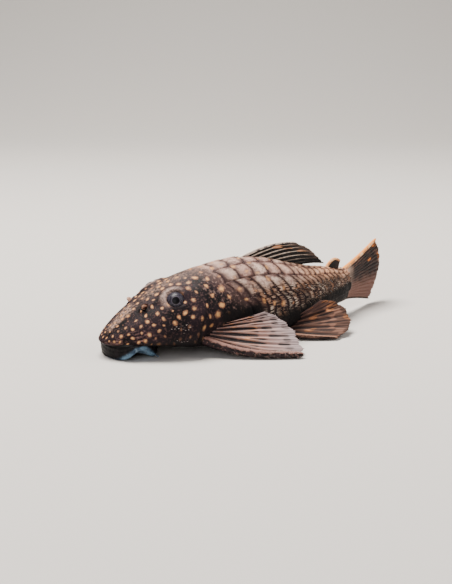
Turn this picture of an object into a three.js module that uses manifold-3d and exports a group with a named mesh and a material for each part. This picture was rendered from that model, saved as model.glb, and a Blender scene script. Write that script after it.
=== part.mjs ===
// A bristlenose catfish at life size, resting on its sucker mouth, belly and spread fins.
// Millimetres, +Z up. The fish faces -X, its left side faces -Y, and its tail swings towards +Y.
// The origin is on the floor, at the middle of the flat that the belly rests on.
import * as THREE from "three";
import { mergeVertices } from "three/addons/utils/BufferGeometryUtils.js";
import Module from "manifold-3d";

const wasm = await Module();
wasm.setup();

// Driving dimensions
const standardLength = 90; // station of the last plate's end, counted from just before the snout
const unit = standardLength / 90; // scales the lengths below, which are given for a station of 90
const snoutTip = 2 * unit; // station of the snout's tip
const gap = 0.3; // clearance between neighbouring pieces
const tailSwing = THREE.MathUtils.degToRad(22); // heading of the tail's end against the head's
const swingStart = 30 * unit; // the body is straight from the snout to here
const finSwing = THREE.MathUtils.degToRad(4); // the tail fin turns a little further than the tail
const bellyFlatStation = 50.5 * unit; // middle of the flat that the belly rests on

// Body outline: [station, value]
const backHeight = [[0, 5.4], [3, 6.3], [6, 8.9], [10, 12.3], [14, 15.0], [18, 17.3], [22.5, 19.3],
  [28, 21.2], [33, 22.5], [40, 23.7], [47, 24.3], [54, 23.6], [63, 21.2], [72, 18.7], [81, 16.9],
  [86, 15.4], [90, 15.1]];
const bellyHeight = [[0, 3.1], [3, 3.5], [8, 3.9], [16, 3.5], [22, 2.6], [29, 1.4], [36, 0.2], [44, -0.5],
  [56, -0.5], [60, 0.3], [66, 1.6], [72, 2.8], [81, 4.0], [90, 4.3]];
const halfWidth = [[0, 13.0], [10, 14.0], [20, 14.9], [27, 15.3], [31, 14.7], [36, 13.8], [42, 13.1],
  [48, 12.3], [54, 11.0], [60, 9.4], [66, 7.7], [72, 6.1], [81, 4.2], [86, 3.3], [90, 2.2]];
const widestHeight = [[0, 4.6], [10, 4.9], [22, 5.4], [30, 5.8], [47, 6.2], [60, 6.6], [72, 8.0], [81, 9.2],
  [90, 9.6]];
const backRoundness = [[0, 2.2], [22, 2.0], [60, 1.95], [80, 2.2], [90, 2.6]];
const bellyRoundness = [[0, 2.4], [16, 3.2], [56, 3.2], [72, 2.6], [90, 2.3]];
const snoutLength = 30 * unit; // length of the rounded snout seen from above
const snoutEdge = 2.7 * unit; // length of the rounded edge of the snout seen from the side
const sideShare = 0.36; // share of a half section that lies below its widest height
// The flank draws in behind the pectoral fin's root
const finNotch = { s: 31.5 * unit, length: 4.6 * unit, depth: 0.15 };

// A smooth curve through [x, y] points, as cubic pieces whose slopes are the weighted mean of both sides
function smoothCurve(points) {
  const x = points.map((p) => p[0] * unit);
  const y = points.map((p) => p[1]);
  const last = x.length - 1;
  const chord = (i) => (y[i + 1] - y[i]) / (x[i + 1] - x[i]);
  const slope = x.map((_, i) => {
    if (i === 0) return chord(0);
    if (i === last) return chord(last - 1);
    const before = x[i] - x[i - 1];
    const after = x[i + 1] - x[i];
    return (chord(i - 1) * after + chord(i) * before) / (before + after);
  });
  return (at) => {
    const a = Math.min(Math.max(at, x[0]), x[last]);
    let i = 0;
    while (i < last - 1 && a > x[i + 1]) i += 1;
    const h = x[i + 1] - x[i];
    const t = (a - x[i]) / h;
    return (2 * t ** 3 - 3 * t ** 2 + 1) * y[i] + (t ** 3 - 2 * t ** 2 + t) * h * slope[i]
      + (3 * t ** 2 - 2 * t ** 3) * y[i + 1] + (t ** 3 - t ** 2) * h * slope[i + 1];
  };
}
const back = smoothCurve(backHeight);
const belly = smoothCurve(bellyHeight);
const width = smoothCurve(halfWidth);
const widest = smoothCurve(widestHeight);
const backPower = smoothCurve(backRoundness);
const bellyPower = smoothCurve(bellyRoundness);
const clamp = THREE.MathUtils.clamp;
const lerp = THREE.MathUtils.lerp;
const smoothstep = THREE.MathUtils.smoothstep;
const bump = (distance, spread) => Math.exp(-((distance / spread) ** 2));
const roundNose = (s, length) => Math.sqrt(1 - (1 - clamp((s - snoutTip) / length, 0, 1)) ** 2);

// The body's centreline: straight to swingStart, then its heading grows with the square of the distance
function centreline(s) {
  const length = standardLength - swingStart;
  const t = clamp(s - swingStart, 0, length);
  const q = t / length;
  const x = Math.min(s, swingStart) + t * (1 - (tailSwing * q * q) ** 2 / 10);
  const y = t * tailSwing * q * q * (1 / 3 - (tailSwing * q * q) ** 2 / 42);
  const heading = tailSwing * q * q + (s > standardLength ? finSwing : 0);
  const beyond = Math.max(s - standardLength, 0);
  return { x: x + beyond * Math.cos(heading), y: y + beyond * Math.sin(heading), heading };
}
const restPoint = centreline(bellyFlatStation);

// Body coordinates: s along the fish from the snout, y to its right, z up from the floor
function place(s, y, z) {
  const c = centreline(s);
  return new THREE.Vector3(
    c.x - restPoint.x - Math.sin(c.heading) * y, c.y - restPoint.y + Math.cos(c.heading) * y, z);
}

// A point of the body's smooth surface. around runs 0 to 2: belly midline, left side, back (1), right side
function bodyPoint(s, around) {
  const left = around <= 1;
  const w = left ? around : 2 - around;
  const level = widest(s) * unit;
  const tip = roundNose(s, snoutEdge);
  const top = level + (back(s) * unit - level) * tip;
  const bottom = level + (belly(s) * unit - level) * tip;
  const notch = finNotch.depth * bump(s - finNotch.s, finNotch.length)
    * (1 - smoothstep(w, sideShare, sideShare + 0.2));
  const half = width(s) * unit * roundNose(s, snoutLength) * (1 - notch);
  const power = 2 / (w < sideShare ? bellyPower(s) : backPower(s));
  const angle = (Math.PI / 2) * (w < sideShare ? 1 - w / sideShare : (w - sideShare) / (1 - sideShare));
  const across = half * Math.max(Math.cos(angle), 0) ** power;
  const rise = Math.max(Math.sin(angle), 0) ** power;
  const z = w < sideShare ? level - (level - bottom) * rise : level + (top - level) * rise;
  return place(s, left ? -across : across, z);
}

// The surface's outward normal, by small differences along and round the body
function bodyNormal(s, around) {
  const ds = 0.4 * unit;
  const da = 0.012;
  const s0 = Math.max(s, snoutTip + ds * 1.01);
  const along = bodyPoint(s0 + ds, around).sub(bodyPoint(s0 - ds, around));
  const round = bodyPoint(s0, (around + da) % 2).sub(bodyPoint(s0, (around - da + 2) % 2));
  return along.cross(round).normalize();
}
const skinPoint = (s, around, raise) => bodyPoint(s, around).addScaledVector(bodyNormal(s, around), raise);

// Meshes
function meshFrom(points, triangles) {
  const positions = new Float32Array(points.flatMap((p) => [p.x, p.y, p.z]));
  return new THREE.BufferGeometry()
    .setAttribute("position", new THREE.BufferAttribute(positions, 3))
    .setIndex(triangles);
}

// A closed body from rings of points, with a middle point at each end
function loft(rings, startMiddle, endMiddle) {
  const n = rings[0].length;
  const points = [startMiddle, ...rings.flat(), endMiddle];
  const last = points.length - 1;
  const triangles = [];
  for (let i = 0; i < n; i += 1) {
    const next = (i + 1) % n;
    triangles.push(0, 1 + i, 1 + next);
    for (let r = 0; r < rings.length - 1; r += 1) {
      const a = 1 + r * n;
      const b = a + n;
      triangles.push(a + i, b + i, b + next, a + i, b + next, a + next);
    }
    const e = 1 + (rings.length - 1) * n;
    triangles.push(last, e + next, e + i);
  }
  return meshFrom(points, triangles);
}

// A thin closed body from a grid of middle points and thicknesses. Both faces are split alike
function sheet(middle, thickness) {
  const rows = middle.length;
  const n = middle[0].length;
  const at = (r, i) => middle[clamp(r, 0, rows - 1)][clamp(i, 0, n - 1)];
  const faces = [1, -1].map((side) => middle.flatMap((row, r) => row.map((p, i) => {
    const along = at(r + 1, i).clone().sub(at(r - 1, i));
    const across = at(r, i + 1).clone().sub(at(r, i - 1));
    return p.clone().addScaledVector(across.cross(along).normalize(), (side * thickness[r][i]) / 2);
  })));
  const triangles = [];
  const under = rows * n;
  const quad = (a, b, c, d) => triangles.push(a, b, c, a, c, d);
  for (let r = 0; r < rows - 1; r += 1) {
    for (let i = 0; i < n - 1; i += 1) {
      const a = r * n + i;
      quad(a, a + 1, a + n + 1, a + n);
      triangles.push(under + a, under + a + n + 1, under + a + 1);
      triangles.push(under + a, under + a + n, under + a + n + 1);
    }
  }
  const rim = [];
  for (let i = 0; i < n - 1; i += 1) rim.push(i);
  for (let r = 0; r < rows - 1; r += 1) rim.push(r * n + n - 1);
  for (let i = n - 1; i > 0; i -= 1) rim.push((rows - 1) * n + i);
  for (let r = rows - 1; r > 0; r -= 1) rim.push(r * n);
  rim.forEach((a, k) => {
    const b = rim[(k + 1) % rim.length];
    quad(b, a, under + a, under + b);
  });
  return meshFrom([...faces[0], ...faces[1]], triangles);
}

// Solids
function solid(geometry) {
  const bare = geometry.index ? geometry.clone() : geometry;
  bare.deleteAttribute("normal");
  bare.deleteAttribute("uv");
  const merged = mergeVertices(bare, 1e-3);
  return new wasm.Manifold(new wasm.Mesh({
    numProp: 3,
    vertProperties: merged.attributes.position.array,
    triVerts: new Uint32Array(merged.index.array),
  }));
}

// Cuts off what is below the floor and keeps the largest piece
function finished(body) {
  const above = body.trimByPlane([0, 0, 1], 0);
  return above.decompose().reduce((a, b) => (b.volume() > a.volume() ? b : a));
}

const model = new THREE.Group();
function addNode(name, body, material) {
  const { vertProperties, triVerts, numProp } = body.getMesh();
  const points = [];
  for (let i = 0; i < vertProperties.length; i += numProp) {
    points.push(new THREE.Vector3(vertProperties[i], vertProperties[i + 1], vertProperties[i + 2]));
  }
  const geometry = meshFrom(points, Array.from(triVerts)).toNonIndexed();
  geometry.computeVertexNormals();
  const mesh = new THREE.Mesh(geometry, material);
  mesh.name = name;
  model.add(mesh);
}

// Materials
const skin = new THREE.MeshStandardMaterial({ color: 0x3b2c26, roughness: 0.55 });
const finSkin = new THREE.MeshStandardMaterial({ color: 0x6b4f3e, roughness: 0.6 });
const lipSkin = new THREE.MeshStandardMaterial({ color: 0x6f7f8c, roughness: 0.5 });
const eyeGloss = new THREE.MeshStandardMaterial({ color: 0x14151b, roughness: 0.15 });

// Eyes and nostrils, in body coordinates of the left side
const eye = { s: 22.1 * unit, y: 7.5 * unit, z: 15.3 * unit, radius: 2.8 * unit };
const nostril = { s: 13.7 * unit, around: 0.83 };
const eyeCentre = (side) => place(eye.s, side * eye.y, eye.z);

// The head: brow rings, a ridge from eye to nostril, the crest of the skull and the swelling of the cheek
const browHeight = 0.9 * unit;
const browRadius = 3.6 * unit;
function headRelief(s, around) {
  const p = bodyPoint(s, around);
  const w = around <= 1 ? around : 2 - around;
  const centre = eyeCentre(around <= 1 ? -1 : 1);
  const brow = browHeight * bump(p.distanceTo(centre) - browRadius, 1.1 * unit)
    * smoothstep(p.z - centre.z, -4, 3);
  const crest = 0.5 * unit * bump(w - 1, 0.07) * smoothstep(s, 20 * unit, 31 * unit);
  const snoutDip = -0.35 * unit * bump(w - 0.8, 0.09) * bump(s - 9 * unit, 6 * unit);
  const cheek = 0.6 * unit * bump(w - 0.42, 0.1) * bump(s - 19 * unit, 6 * unit);
  const gillEdge = 0.45 * unit * smoothstep(s - gillLine(w), -5, 0) * smoothstep(w, 0.3, 0.45);
  return brow + crest + snoutDip + cheek + gillEdge;
}

// Where the head ends: the rear edge of the skull above, of the gill cover below
const gillPoints = [[0, 24.4], [0.3, 24.8], [0.4, 25.4], [0.5, 26.9], [0.6, 28.9], [0.8, 31.8], [1, 33.2]];
const gillCurve = smoothCurve(gillPoints.map(([w, s]) => [w / unit, s]));
const gillLine = (w) => gillCurve(w) * unit;

// Plates: columns that run slanting back and down from the spine to mid height and then straight down,
// in five rows a side. Between the gill cover and the first column the shoulder is bare. High on the front
// of the back the plates are twice as long as on the flank
const plateColumns = 21;
const plateRows = [0.29, 0.43, 0.57, 0.72, 0.86, 1];
const plateStart = 35.4 * unit; // station of the first column at the spine
const plateLean = 9 * unit; // how far back a column reaches from the spine to mid height
const leanShare = [[0.29, 0.87], [0.38, 0.98], [0.46, 0.96], [0.54, 0.8], [0.6, 0.59], [0.66, 0.39],
  [0.73, 0.21], [0.8, 0.1], [0.9, 0.02], [1, 0]];
const leanCurve = smoothCurve(leanShare.map(([w, share]) => [w / unit, share]));
const plateHeight = 0.36 * unit;
const plateScallop = 0.8 * unit;
const longPlatesAbove = 0.58;
const longPlatesUpTo = 10; // the column where the long plates end
const shiftedRowBelow = 0.72; // the long plates of the lowest row lie one column further forward
const tailColumn = 13; // the tail node starts at this column
function plateEdge(column, w) {
  const u = column / plateColumns;
  const lean = plateLean * (1 - 0.85 * smoothstep(u, 0.4, 0.95)) * leanCurve(w);
  const row = plateRows.findIndex((edge) => w <= edge);
  const inRow = row > 0 ? (w - plateRows[row - 1]) / (plateRows[row] - plateRows[row - 1]) : 0;
  const scallop = row > 0 ? plateScallop * (1 - (2 * inRow - 1) ** 2) : 0;
  return lerp(plateStart, standardLength - unit, u) + lean + scallop;
}

// Positions round a half section: each plate has a groove, a shoulder and a crown
function halfRound() {
  const list = [0, 0.13, 0.25];
  const groove = 0.012;
  for (let row = 0; row < plateRows.length - 1; row += 1) {
    const [from, to] = [plateRows[row], plateRows[row + 1]];
    list.push(from, from + groove, (from + to) / 2, to - groove);
  }
  return list;
}
const round = [...halfRound(), 1, ...halfRound().slice(1).reverse().map((w) => 2 - w)];
const isGroove = (w) => plateRows.some((edge) => Math.abs(w - edge) < 1e-6);

function plateRelief(w, column, share) {
  if (w < plateRows[0]) return 0;
  const height = plateHeight * lerp(1, 0.3, smoothstep(w, 0.84, 1));
  const shifted = column + (w < shiftedRowBelow ? 1 : 0);
  const isLong = w > longPlatesAbove && shifted < longPlatesUpTo;
  const along = isLong ? ((shifted % 2) + share) / 2 : share;
  const profile = along < 0.05 ? -0.25 : lerp(0.4, 1, along);
  return isGroove(w) && w < 1 ? height * profile * 0.2 : height * profile;
}

// Each column has a low front ring, a middle one, and a high rear ring just before the next column's front
const stepShare = 0.03;
function platedRings(from, to, startShift, endShift) {
  const rings = [];
  for (let column = from; column < to; column += 1) {
    for (const share of [0, 0.22, 1]) {
      rings.push(round.map((around) => {
        const w = around <= 1 ? around : 2 - around;
        const front = plateEdge(column, w) + (column === from ? startShift : 0);
        const rear = plateEdge(column + 1, w) + (column === to - 1 ? endShift : 0);
        const s = lerp(front, rear, share * (1 - (column === to - 1 ? 0 : stepShare)));
        return skinPoint(s, around, plateRelief(w, column, share));
      }));
    }
  }
  return rings;
}
const middle = (s) => place(s, 0, ((back(s) + belly(s)) / 2) * unit);
const seam = 0.2 * unit; // half of the cut between two lengths of the body, measured along it

const shoulderRings = 3;
function trunkSolid() {
  const shoulder = [...Array(shoulderRings).keys()].map((r) => round.map((around) => {
    const w = around <= 1 ? around : 2 - around;
    return skinPoint(lerp(gillLine(w) + seam, plateEdge(0, w) - 0.1 * unit, r / shoulderRings), around, 0);
  }));
  const rings = [...shoulder, ...platedRings(0, tailColumn, 0, -seam)];
  return solid(loft(rings, middle(28 * unit + seam), middle(plateEdge(tailColumn, 0.5) - 2 * unit - seam)));
}

function tailSolid() {
  const rings = platedRings(tailColumn, plateColumns, seam, 0);
  const front = middle(plateEdge(tailColumn, 0.5) - 2 * unit + seam);
  return solid(loft(rings, front, middle(plateEdge(plateColumns, 0.5))));
}

const headRings = 26;
const headRound = [0, 0.1, 0.19, 0.27, 0.33, 0.38, 0.44, 0.5, 0.56, 0.62, 0.67, 0.71, 0.75, 0.79, 0.83, 0.88,
  0.94];
const headAround = [...headRound, 1, ...headRound.slice(1).reverse().map((w) => 2 - w)];
function headLoft(raise) {
  const rings = [];
  for (let r = 1; r <= headRings; r += 1) {
    const share = (r / headRings) ** 1.45;
    rings.push(headAround.map((around) => {
      const w = around <= 1 ? around : 2 - around;
      const s = lerp(snoutTip, gillLine(w) - seam, share);
      return skinPoint(s, around, raise + headRelief(s, around));
    }));
  }
  return solid(loft(rings, place(snoutTip - raise, 0, widest(snoutTip) * unit), middle(28 * unit - seam)));
}

// A smooth copy of the body, larger by the gap and the height of its plates, that clears room for the fins
function clearance(from, to, raise) {
  const rings = [];
  const count = 34;
  const around = [...Array(40).keys()].map((i) => i / 20);
  for (let r = 0; r <= count; r += 1) {
    const s = lerp(from, to, r / count);
    rings.push(around.map((a) => {
      const nearBack = smoothstep(1 - Math.abs(a - 1), 0.84, 1);
      return skinPoint(s, a, gap + raise * lerp(1, 0.3, nearBack));
    }));
  }
  return solid(loft(rings, middle(from), middle(to)));
}
const bodyClearance = clearance(18 * unit, 91.4 * unit, plateHeight);

// Small spines, as four-sided cones with the root sunk in
function spike(root, direction, length, radius) {
  const cone = new THREE.ConeGeometry(radius, length, 4).translate(0, length / 2, 0);
  const upright = new THREE.Vector3(0, 1, 0);
  cone.applyQuaternion(new THREE.Quaternion().setFromUnitVectors(upright, direction.clone().normalize()));
  return solid(cone.translate(root.x, root.y, root.z));
}

// The tuft of hooked spines behind the cheek, in two short rows
const cheekSpines = { s: 22.8, spacing: 1.0, rows: [0.45, 0.49], count: 6, length: 3.2, radius: 0.4 };
function cheekTuft(side) {
  const spines = [];
  cheekSpines.rows.forEach((w, row) => {
    for (let i = 0; i < cheekSpines.count; i += 1) {
      const s = (cheekSpines.s - i * cheekSpines.spacing + row * 0.4) * unit;
      const around = side < 0 ? w : 2 - w;
      const normal = bodyNormal(s, around);
      const root = skinPoint(s, around, -0.5 * unit);
      const direction = normal.clone().multiplyScalar(0.75 - 0.05 * i).add(new THREE.Vector3(0.62, 0, -0.12));
      const length = cheekSpines.length * unit * (1 - 0.07 * Math.abs(i - 1.5));
      spines.push(spike(root, direction, length, cheekSpines.radius * unit));
    }
  });
  return spines;
}

// A nostril: an oval rim, and a flap that stands across it between its two openings
function nostrilParts(side) {
  const around = side < 0 ? nostril.around : 2 - nostril.around;
  const normal = bodyNormal(nostril.s, around);
  const frame = new THREE.Matrix4().lookAt(normal, new THREE.Vector3(), new THREE.Vector3(1, 0, 0));
  const turn = new THREE.Quaternion().setFromRotationMatrix(frame);
  const put = (geometry, lift) => {
    const at = skinPoint(nostril.s, around, lift * unit);
    return solid(geometry.applyQuaternion(turn).translate(at.x, at.y, at.z));
  };
  const rim = put(new THREE.TorusGeometry(0.95 * unit, 0.36 * unit, 6, 12).scale(0.85, 1.3, 1), 0.1);
  const pit = put(new THREE.SphereGeometry(1, 10, 8).scale(0.65 * unit, 1.05 * unit, 0.9 * unit), 0.2);
  const flap = put(new THREE.SphereGeometry(1, 8, 6).scale(0.8 * unit, 0.32 * unit, 1.4 * unit), 0);
  return { rim, pit, flap };
}

const sides = [-1, 1];
function headSolid() {
  let head = headLoft(0);
  for (const side of sides) {
    const { rim, pit, flap } = nostrilParts(side);
    head = head.add(rim).subtract(pit).add(flap);
    for (const spine of cheekTuft(side)) head = head.add(spine);
    const centre = eyeCentre(side);
    const socket = new THREE.SphereGeometry(eye.radius + gap, 18, 12).translate(centre.x, centre.y, centre.z);
    head = head.subtract(solid(socket));
  }
  return head;
}

function eyeSolid(side) {
  const centre = eyeCentre(side);
  const ball = new THREE.SphereGeometry(eye.radius, 16, 10).rotateX(Math.PI / 2);
  return solid(ball.translate(centre.x, centre.y, centre.z));
}

// The sucker mouth: a round disc of lips under the snout, hollow below, whose left edge arches off the floor
const mouth = {
  s: 10.8 * unit, across: 9.8 * unit, along: 7.7 * unit, height: 4.6 * unit,
  arch: 3.0 * unit, archAngle: 4.66, archWidth: 0.42,
};
const mouthProfile = [[0.55, 1], [0.62, 0.72], [0.8, 0.4], [0.94, 0.2], [1, 0.08], [0.98, 0], [0.82, 0],
  [0.72, 0.1], [0.62, 0.16], [0.5, 0.15], [0.4, 0.22], [0.36, 0.45]];
function mouthSolid() {
  const steps = 34;
  const rings = mouthProfile.map(([r, h], k) => [...Array(steps).keys()].map((i) => {
    const angle = (i / steps) * 2 * Math.PI;
    const lobes = k > 6 && k < 10 ? 0.05 * Math.cos(9 * angle) : 0;
    const wide = mouth.across * (r + lobes) * (k > 9 ? 0.9 : 1);
    const long = mouth.along * (r + lobes) * (k > 9 ? 0.55 : 1);
    const lift = mouth.arch * bump(angle - mouth.archAngle, mouth.archWidth) * smoothstep(r, 0.5, 0.95);
    return place(mouth.s + long * Math.cos(angle), wide * Math.sin(angle), lerp(lift, mouth.height, h));
  }));
  const top = place(mouth.s, 0, mouth.height);
  const roof = place(mouth.s, 0, mouth.height * 0.5);
  let disc = solid(loft(rings, top, roof));
  for (const side of sides) {
    const root = place(mouth.s + 2.6 * unit, side * mouth.across * 0.86, 1.9 * unit);
    disc = disc.add(spike(root, new THREE.Vector3(0.75, side * 0.8, -0.3), 2.6 * unit, 0.5 * unit));
  }
  return disc.subtract(headLoft(gap));
}

// Fins: rays are given in body coordinates by root, tip and the bow of their middle; the web lies between
function finMiddle(rays, k, t) {
  const i = clamp(Math.floor(k), 0, rays.length - 2);
  const f = k - i;
  const mix = (key, axis) => lerp(rays[i][key][axis], rays[i + 1][key][axis], f);
  const arc = Math.sin(Math.PI * t);
  const at = (axis) => (lerp(mix("root", axis), mix("tip", axis), t) + mix("bow", axis) * arc) * unit;
  return place(at(0), at(1), at(2));
}

const finStyle = {
  web: 0.5, ray: 0.95, rayTip: 0.55, spine: 1.8, spineTip: 0.9, spineShare: 0.34, rows: 8, notch: 0.035,
};
function finSolid(rays, style = {}) {
  const f = { ...finStyle, ...style };
  const across = [{ k: 0, edge: true }, { k: f.spineShare / 2, spine: true }, { k: f.spineShare }];
  for (let k = 1; k < rays.length; k += 1) {
    across.push({ k: k - f.shoulder }, { k, ray: true });
    if (k < rays.length - 1) across.push({ k: k + f.shoulder });
  }
  const rows = [...Array(f.rows + 1).keys()].map((r) => r / f.rows);
  const reach = (a) => (a.ray || a.spine || a.edge ? 1 : 1 - f.notch);
  const points = rows.map((t) => across.map((a) => finMiddle(rays, a.k, t * reach(a))));
  const thickness = rows.map((t) => across.map((a) => {
    if (a.spine) return lerp(f.spine, f.spineTip, t) * unit;
    if (a.edge) return lerp(f.spine, f.spineTip, t) * 0.55 * unit;
    return (a.ray ? lerp(f.ray, f.rayTip, t) : lerp(f.web, 0.42, t)) * unit;
  }));
  return solid(sheet(points, thickness));
}
const onBothFlanks = (rays, side) => rays.map((ray) => Object.fromEntries(
  Object.entries(ray).map(([key, [s, y, z]]) => [key, [s, -side * y, z]])));

// Rays of the left pectoral fin, from the stout leading spine on the floor to the raised inner ray
const pectoralRays = [
  { root: [26.4, -11.2, 5.3], tip: [50.9, -29.1, 1.1], bow: [-1.5, -0.8, -1.4] },
  { root: [27.6, -11.2, 5.7], tip: [52.6, -27.0, 2.0], bow: [-0.6, -0.9, -0.8] },
  { root: [28.5, -11.2, 6.1], tip: [53.3, -24.1, 3.7], bow: [-0.2, -0.9, -0.3] },
  { root: [29.4, -11.2, 6.5], tip: [53.3, -20.8, 5.6], bow: [0, -1.0, 0.1] },
  { root: [30.3, -11.1, 6.9], tip: [52.5, -17.9, 7.7], bow: [0, -1.2, 0.5] },
  { root: [31.2, -11.0, 7.3], tip: [50.2, -16.1, 9.8], bow: [0, -1.2, 0.4] },
  { root: [32.1, -10.9, 7.7], tip: [46.8, -15.3, 11.2], bow: [0, -1.1, 0.2] },
];

// Rays of the left pelvic fin
const pelvicRays = [
  { root: [53.4, -6.8, 1.9], tip: [67.8, -20.1, 0.8], bow: [-0.6, -0.6, 0] },
  { root: [54.6, -6.8, 2.3], tip: [72.6, -19.2, 2.0], bow: [0, -0.5, 0.2] },
  { root: [55.6, -6.8, 2.7], tip: [76.2, -16.2, 3.8], bow: [0, -0.6, 0.3] },
  { root: [56.6, -6.7, 3.1], tip: [77.4, -12.6, 6.6], bow: [0, -0.7, 0.3] },
  { root: [57.6, -6.5, 3.5], tip: [75.3, -10.4, 9.1], bow: [0, -0.8, 0.2] },
  { root: [58.6, -6.3, 3.9], tip: [69.8, -9.9, 10.2], bow: [0, -0.8, 0.1] },
];

// The dorsal fin is folded back: its rays' tips step down along a slanted rear edge
const dorsal = { rays: 8, from: 45.6, to: 66.5, sunk: 0.9 };
const dorsalTips = [[68.4, 26.2], [71.0, 25.2], [73.4, 24.0], [75.4, 22.6], [77.1, 21.1], [78.5, 19.8],
  [79.6, 18.8], [80.2, 18.2]];
const dorsalRays = dorsalTips.map(([s, z], k) => {
  const base = lerp(dorsal.from, dorsal.to, k / (dorsal.rays - 1));
  const share = 1 - k / (dorsal.rays - 1);
  const root = [base, 0, back(base * unit) - dorsal.sunk];
  return { root, tip: [s, 0.9 * share, z], bow: [0, -0.3, 1.25 * share + 0.5] };
});

// The small adipose fin: a curved spine with a web down to the back
const adiposeRays = [
  { root: [80.4, 0, 16.0], tip: [88.3, 0, 17.7], bow: [0, 0, 1.9] },
  { root: [82.6, 0, 15.2], tip: [87.4, 0, 14.6], bow: [0, 0, 0.3] },
];

// The anal fin lies back along the belly line
const analRays = [
  { root: [63.8, 0, 2.4], tip: [76.6, 0, 0.6], bow: [0, 0, -0.2] },
  { root: [65.1, 0, 2.8], tip: [78.4, 0, 1.0], bow: [0, 0, -0.2] },
  { root: [66.4, 0, 3.2], tip: [78.9, 0, 1.8], bow: [0, 0, -0.1] },
  { root: [67.7, 0, 3.6], tip: [78.6, 0, 2.6], bow: [0, 0, -0.1] },
];

// The tail fin: a spine above and one below, soft rays between, and the lower lobe the longer
const caudal = { rays: 16, rootStation: 87.6, rootTop: 14.0, rootBottom: 5.3, tipTop: 20.2, tipBottom: 2.6 };
const caudalEdge = [[0, 111.6], [2, 113.6], [6, 116.2], [9, 115.4], [12, 112.2], [15, 107.8]];
const caudalReach = smoothCurve(caudalEdge.map(([k, s]) => [k / unit, s]));
const caudalRays = [...Array(caudal.rays).keys()].map((k) => {
  const share = k / (caudal.rays - 1);
  const spread = Math.sin(Math.PI * (share - 0.5)) * 0.12 + (share - 0.5) * 0.88 + 0.5;
  const middling = Math.sin(Math.PI * share);
  return {
    root: [caudal.rootStation + 1.2 * middling, 0, lerp(caudal.rootTop, caudal.rootBottom, share)],
    tip: [caudalReach(k), 0.6 * middling, lerp(caudal.tipTop, caudal.tipBottom, spread)],
    bow: [0, 0, -0.5 * (1 - 2 * share)],
  };
});

// Assembly
addNode("head", finished(headSolid()), skin);
addNode("trunk", finished(trunkSolid()), skin);
addNode("tail", finished(tailSolid()), skin);
addNode("sucker_mouth", finished(mouthSolid()), lipSkin);
const nearBody = (body) => finished(body.subtract(bodyClearance));
for (const side of sides) {
  const name = side < 0 ? "left" : "right";
  addNode("eye_" + name, eyeSolid(side), eyeGloss);
  const pectoral = finSolid(onBothFlanks(pectoralRays, side), { shoulder: 0.24, spine: 2.9, spineTip: 1.9 });
  addNode("pectoral_fin_" + name, nearBody(pectoral), finSkin);
  const pelvic = finSolid(onBothFlanks(pelvicRays, side), { shoulder: 0.24, spine: 2.0, spineTip: 1.5 });
  addNode("pelvic_fin_" + name, nearBody(pelvic), finSkin);
}
const dorsalFin = finSolid(dorsalRays, { shoulder: 0.28, spine: 1.5, spineTip: 0.8, rows: 7 });
const adiposeFin = finSolid(adiposeRays, { shoulder: 0.3, spine: 1.3, spineTip: 0.7, rows: 6 });
const analFin = finSolid(analRays, { shoulder: 0.28, spine: 1.1, spineTip: 0.7, rows: 6 });
const caudalFin = finSolid(caudalRays, { shoulder: 0.3, spine: 1.5, spineTip: 0.8, rows: 6 });
addNode("dorsal_fin", nearBody(dorsalFin), finSkin);
addNode("adipose_fin", nearBody(adiposeFin), finSkin);
addNode("anal_fin", nearBody(analFin), finSkin);
addNode("caudal_fin", nearBody(caudalFin), finSkin);

export default model;
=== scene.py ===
# %% [markdown]
# # A bristlenose pleco, at life size
#
# A bristlenose pleco is a small armoured catfish that spends its life lying on the bottom. Its head is
# broad and bare, its body is cased in rows of bony plates that lie like roof tiles, and its mouth is a
# sucker under the snout. This scene builds the looks of one such fish, lying with its tail swung away.
#
# The solids of the part are loaded first and never moved. Every piece made here sits on them. The pieces
# could be shaped by hand around the solids, but then nobody could change a size later, so each one is
# worked out from a few sizes instead.

# %% Load the solids as the fixed frame
import bpy
import numpy as np
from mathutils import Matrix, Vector


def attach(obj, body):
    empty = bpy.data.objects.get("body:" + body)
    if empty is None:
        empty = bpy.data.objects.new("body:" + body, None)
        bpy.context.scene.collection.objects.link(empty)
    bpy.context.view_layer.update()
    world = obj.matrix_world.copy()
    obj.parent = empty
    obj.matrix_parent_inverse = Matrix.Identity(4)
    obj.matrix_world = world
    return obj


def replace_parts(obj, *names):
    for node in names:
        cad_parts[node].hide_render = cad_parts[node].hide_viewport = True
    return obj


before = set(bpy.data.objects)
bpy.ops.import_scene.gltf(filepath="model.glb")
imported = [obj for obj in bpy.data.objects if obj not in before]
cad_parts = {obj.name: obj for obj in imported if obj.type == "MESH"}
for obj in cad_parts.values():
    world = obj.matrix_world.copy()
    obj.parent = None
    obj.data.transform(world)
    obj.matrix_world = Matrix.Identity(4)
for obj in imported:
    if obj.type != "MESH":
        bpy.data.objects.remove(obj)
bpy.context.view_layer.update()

# %% [markdown]
# ## Outline of the body
#
# A fish is easiest to describe along its own length. A station is a distance in millimetres along the
# body from just in front of the snout. Each outline is a short list of stations and values: the height of
# the back and of the belly, half the width, and the height at which the body is widest. A sculpted mesh
# would hold the same shape, but here one number can be changed without upsetting the rest.

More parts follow.
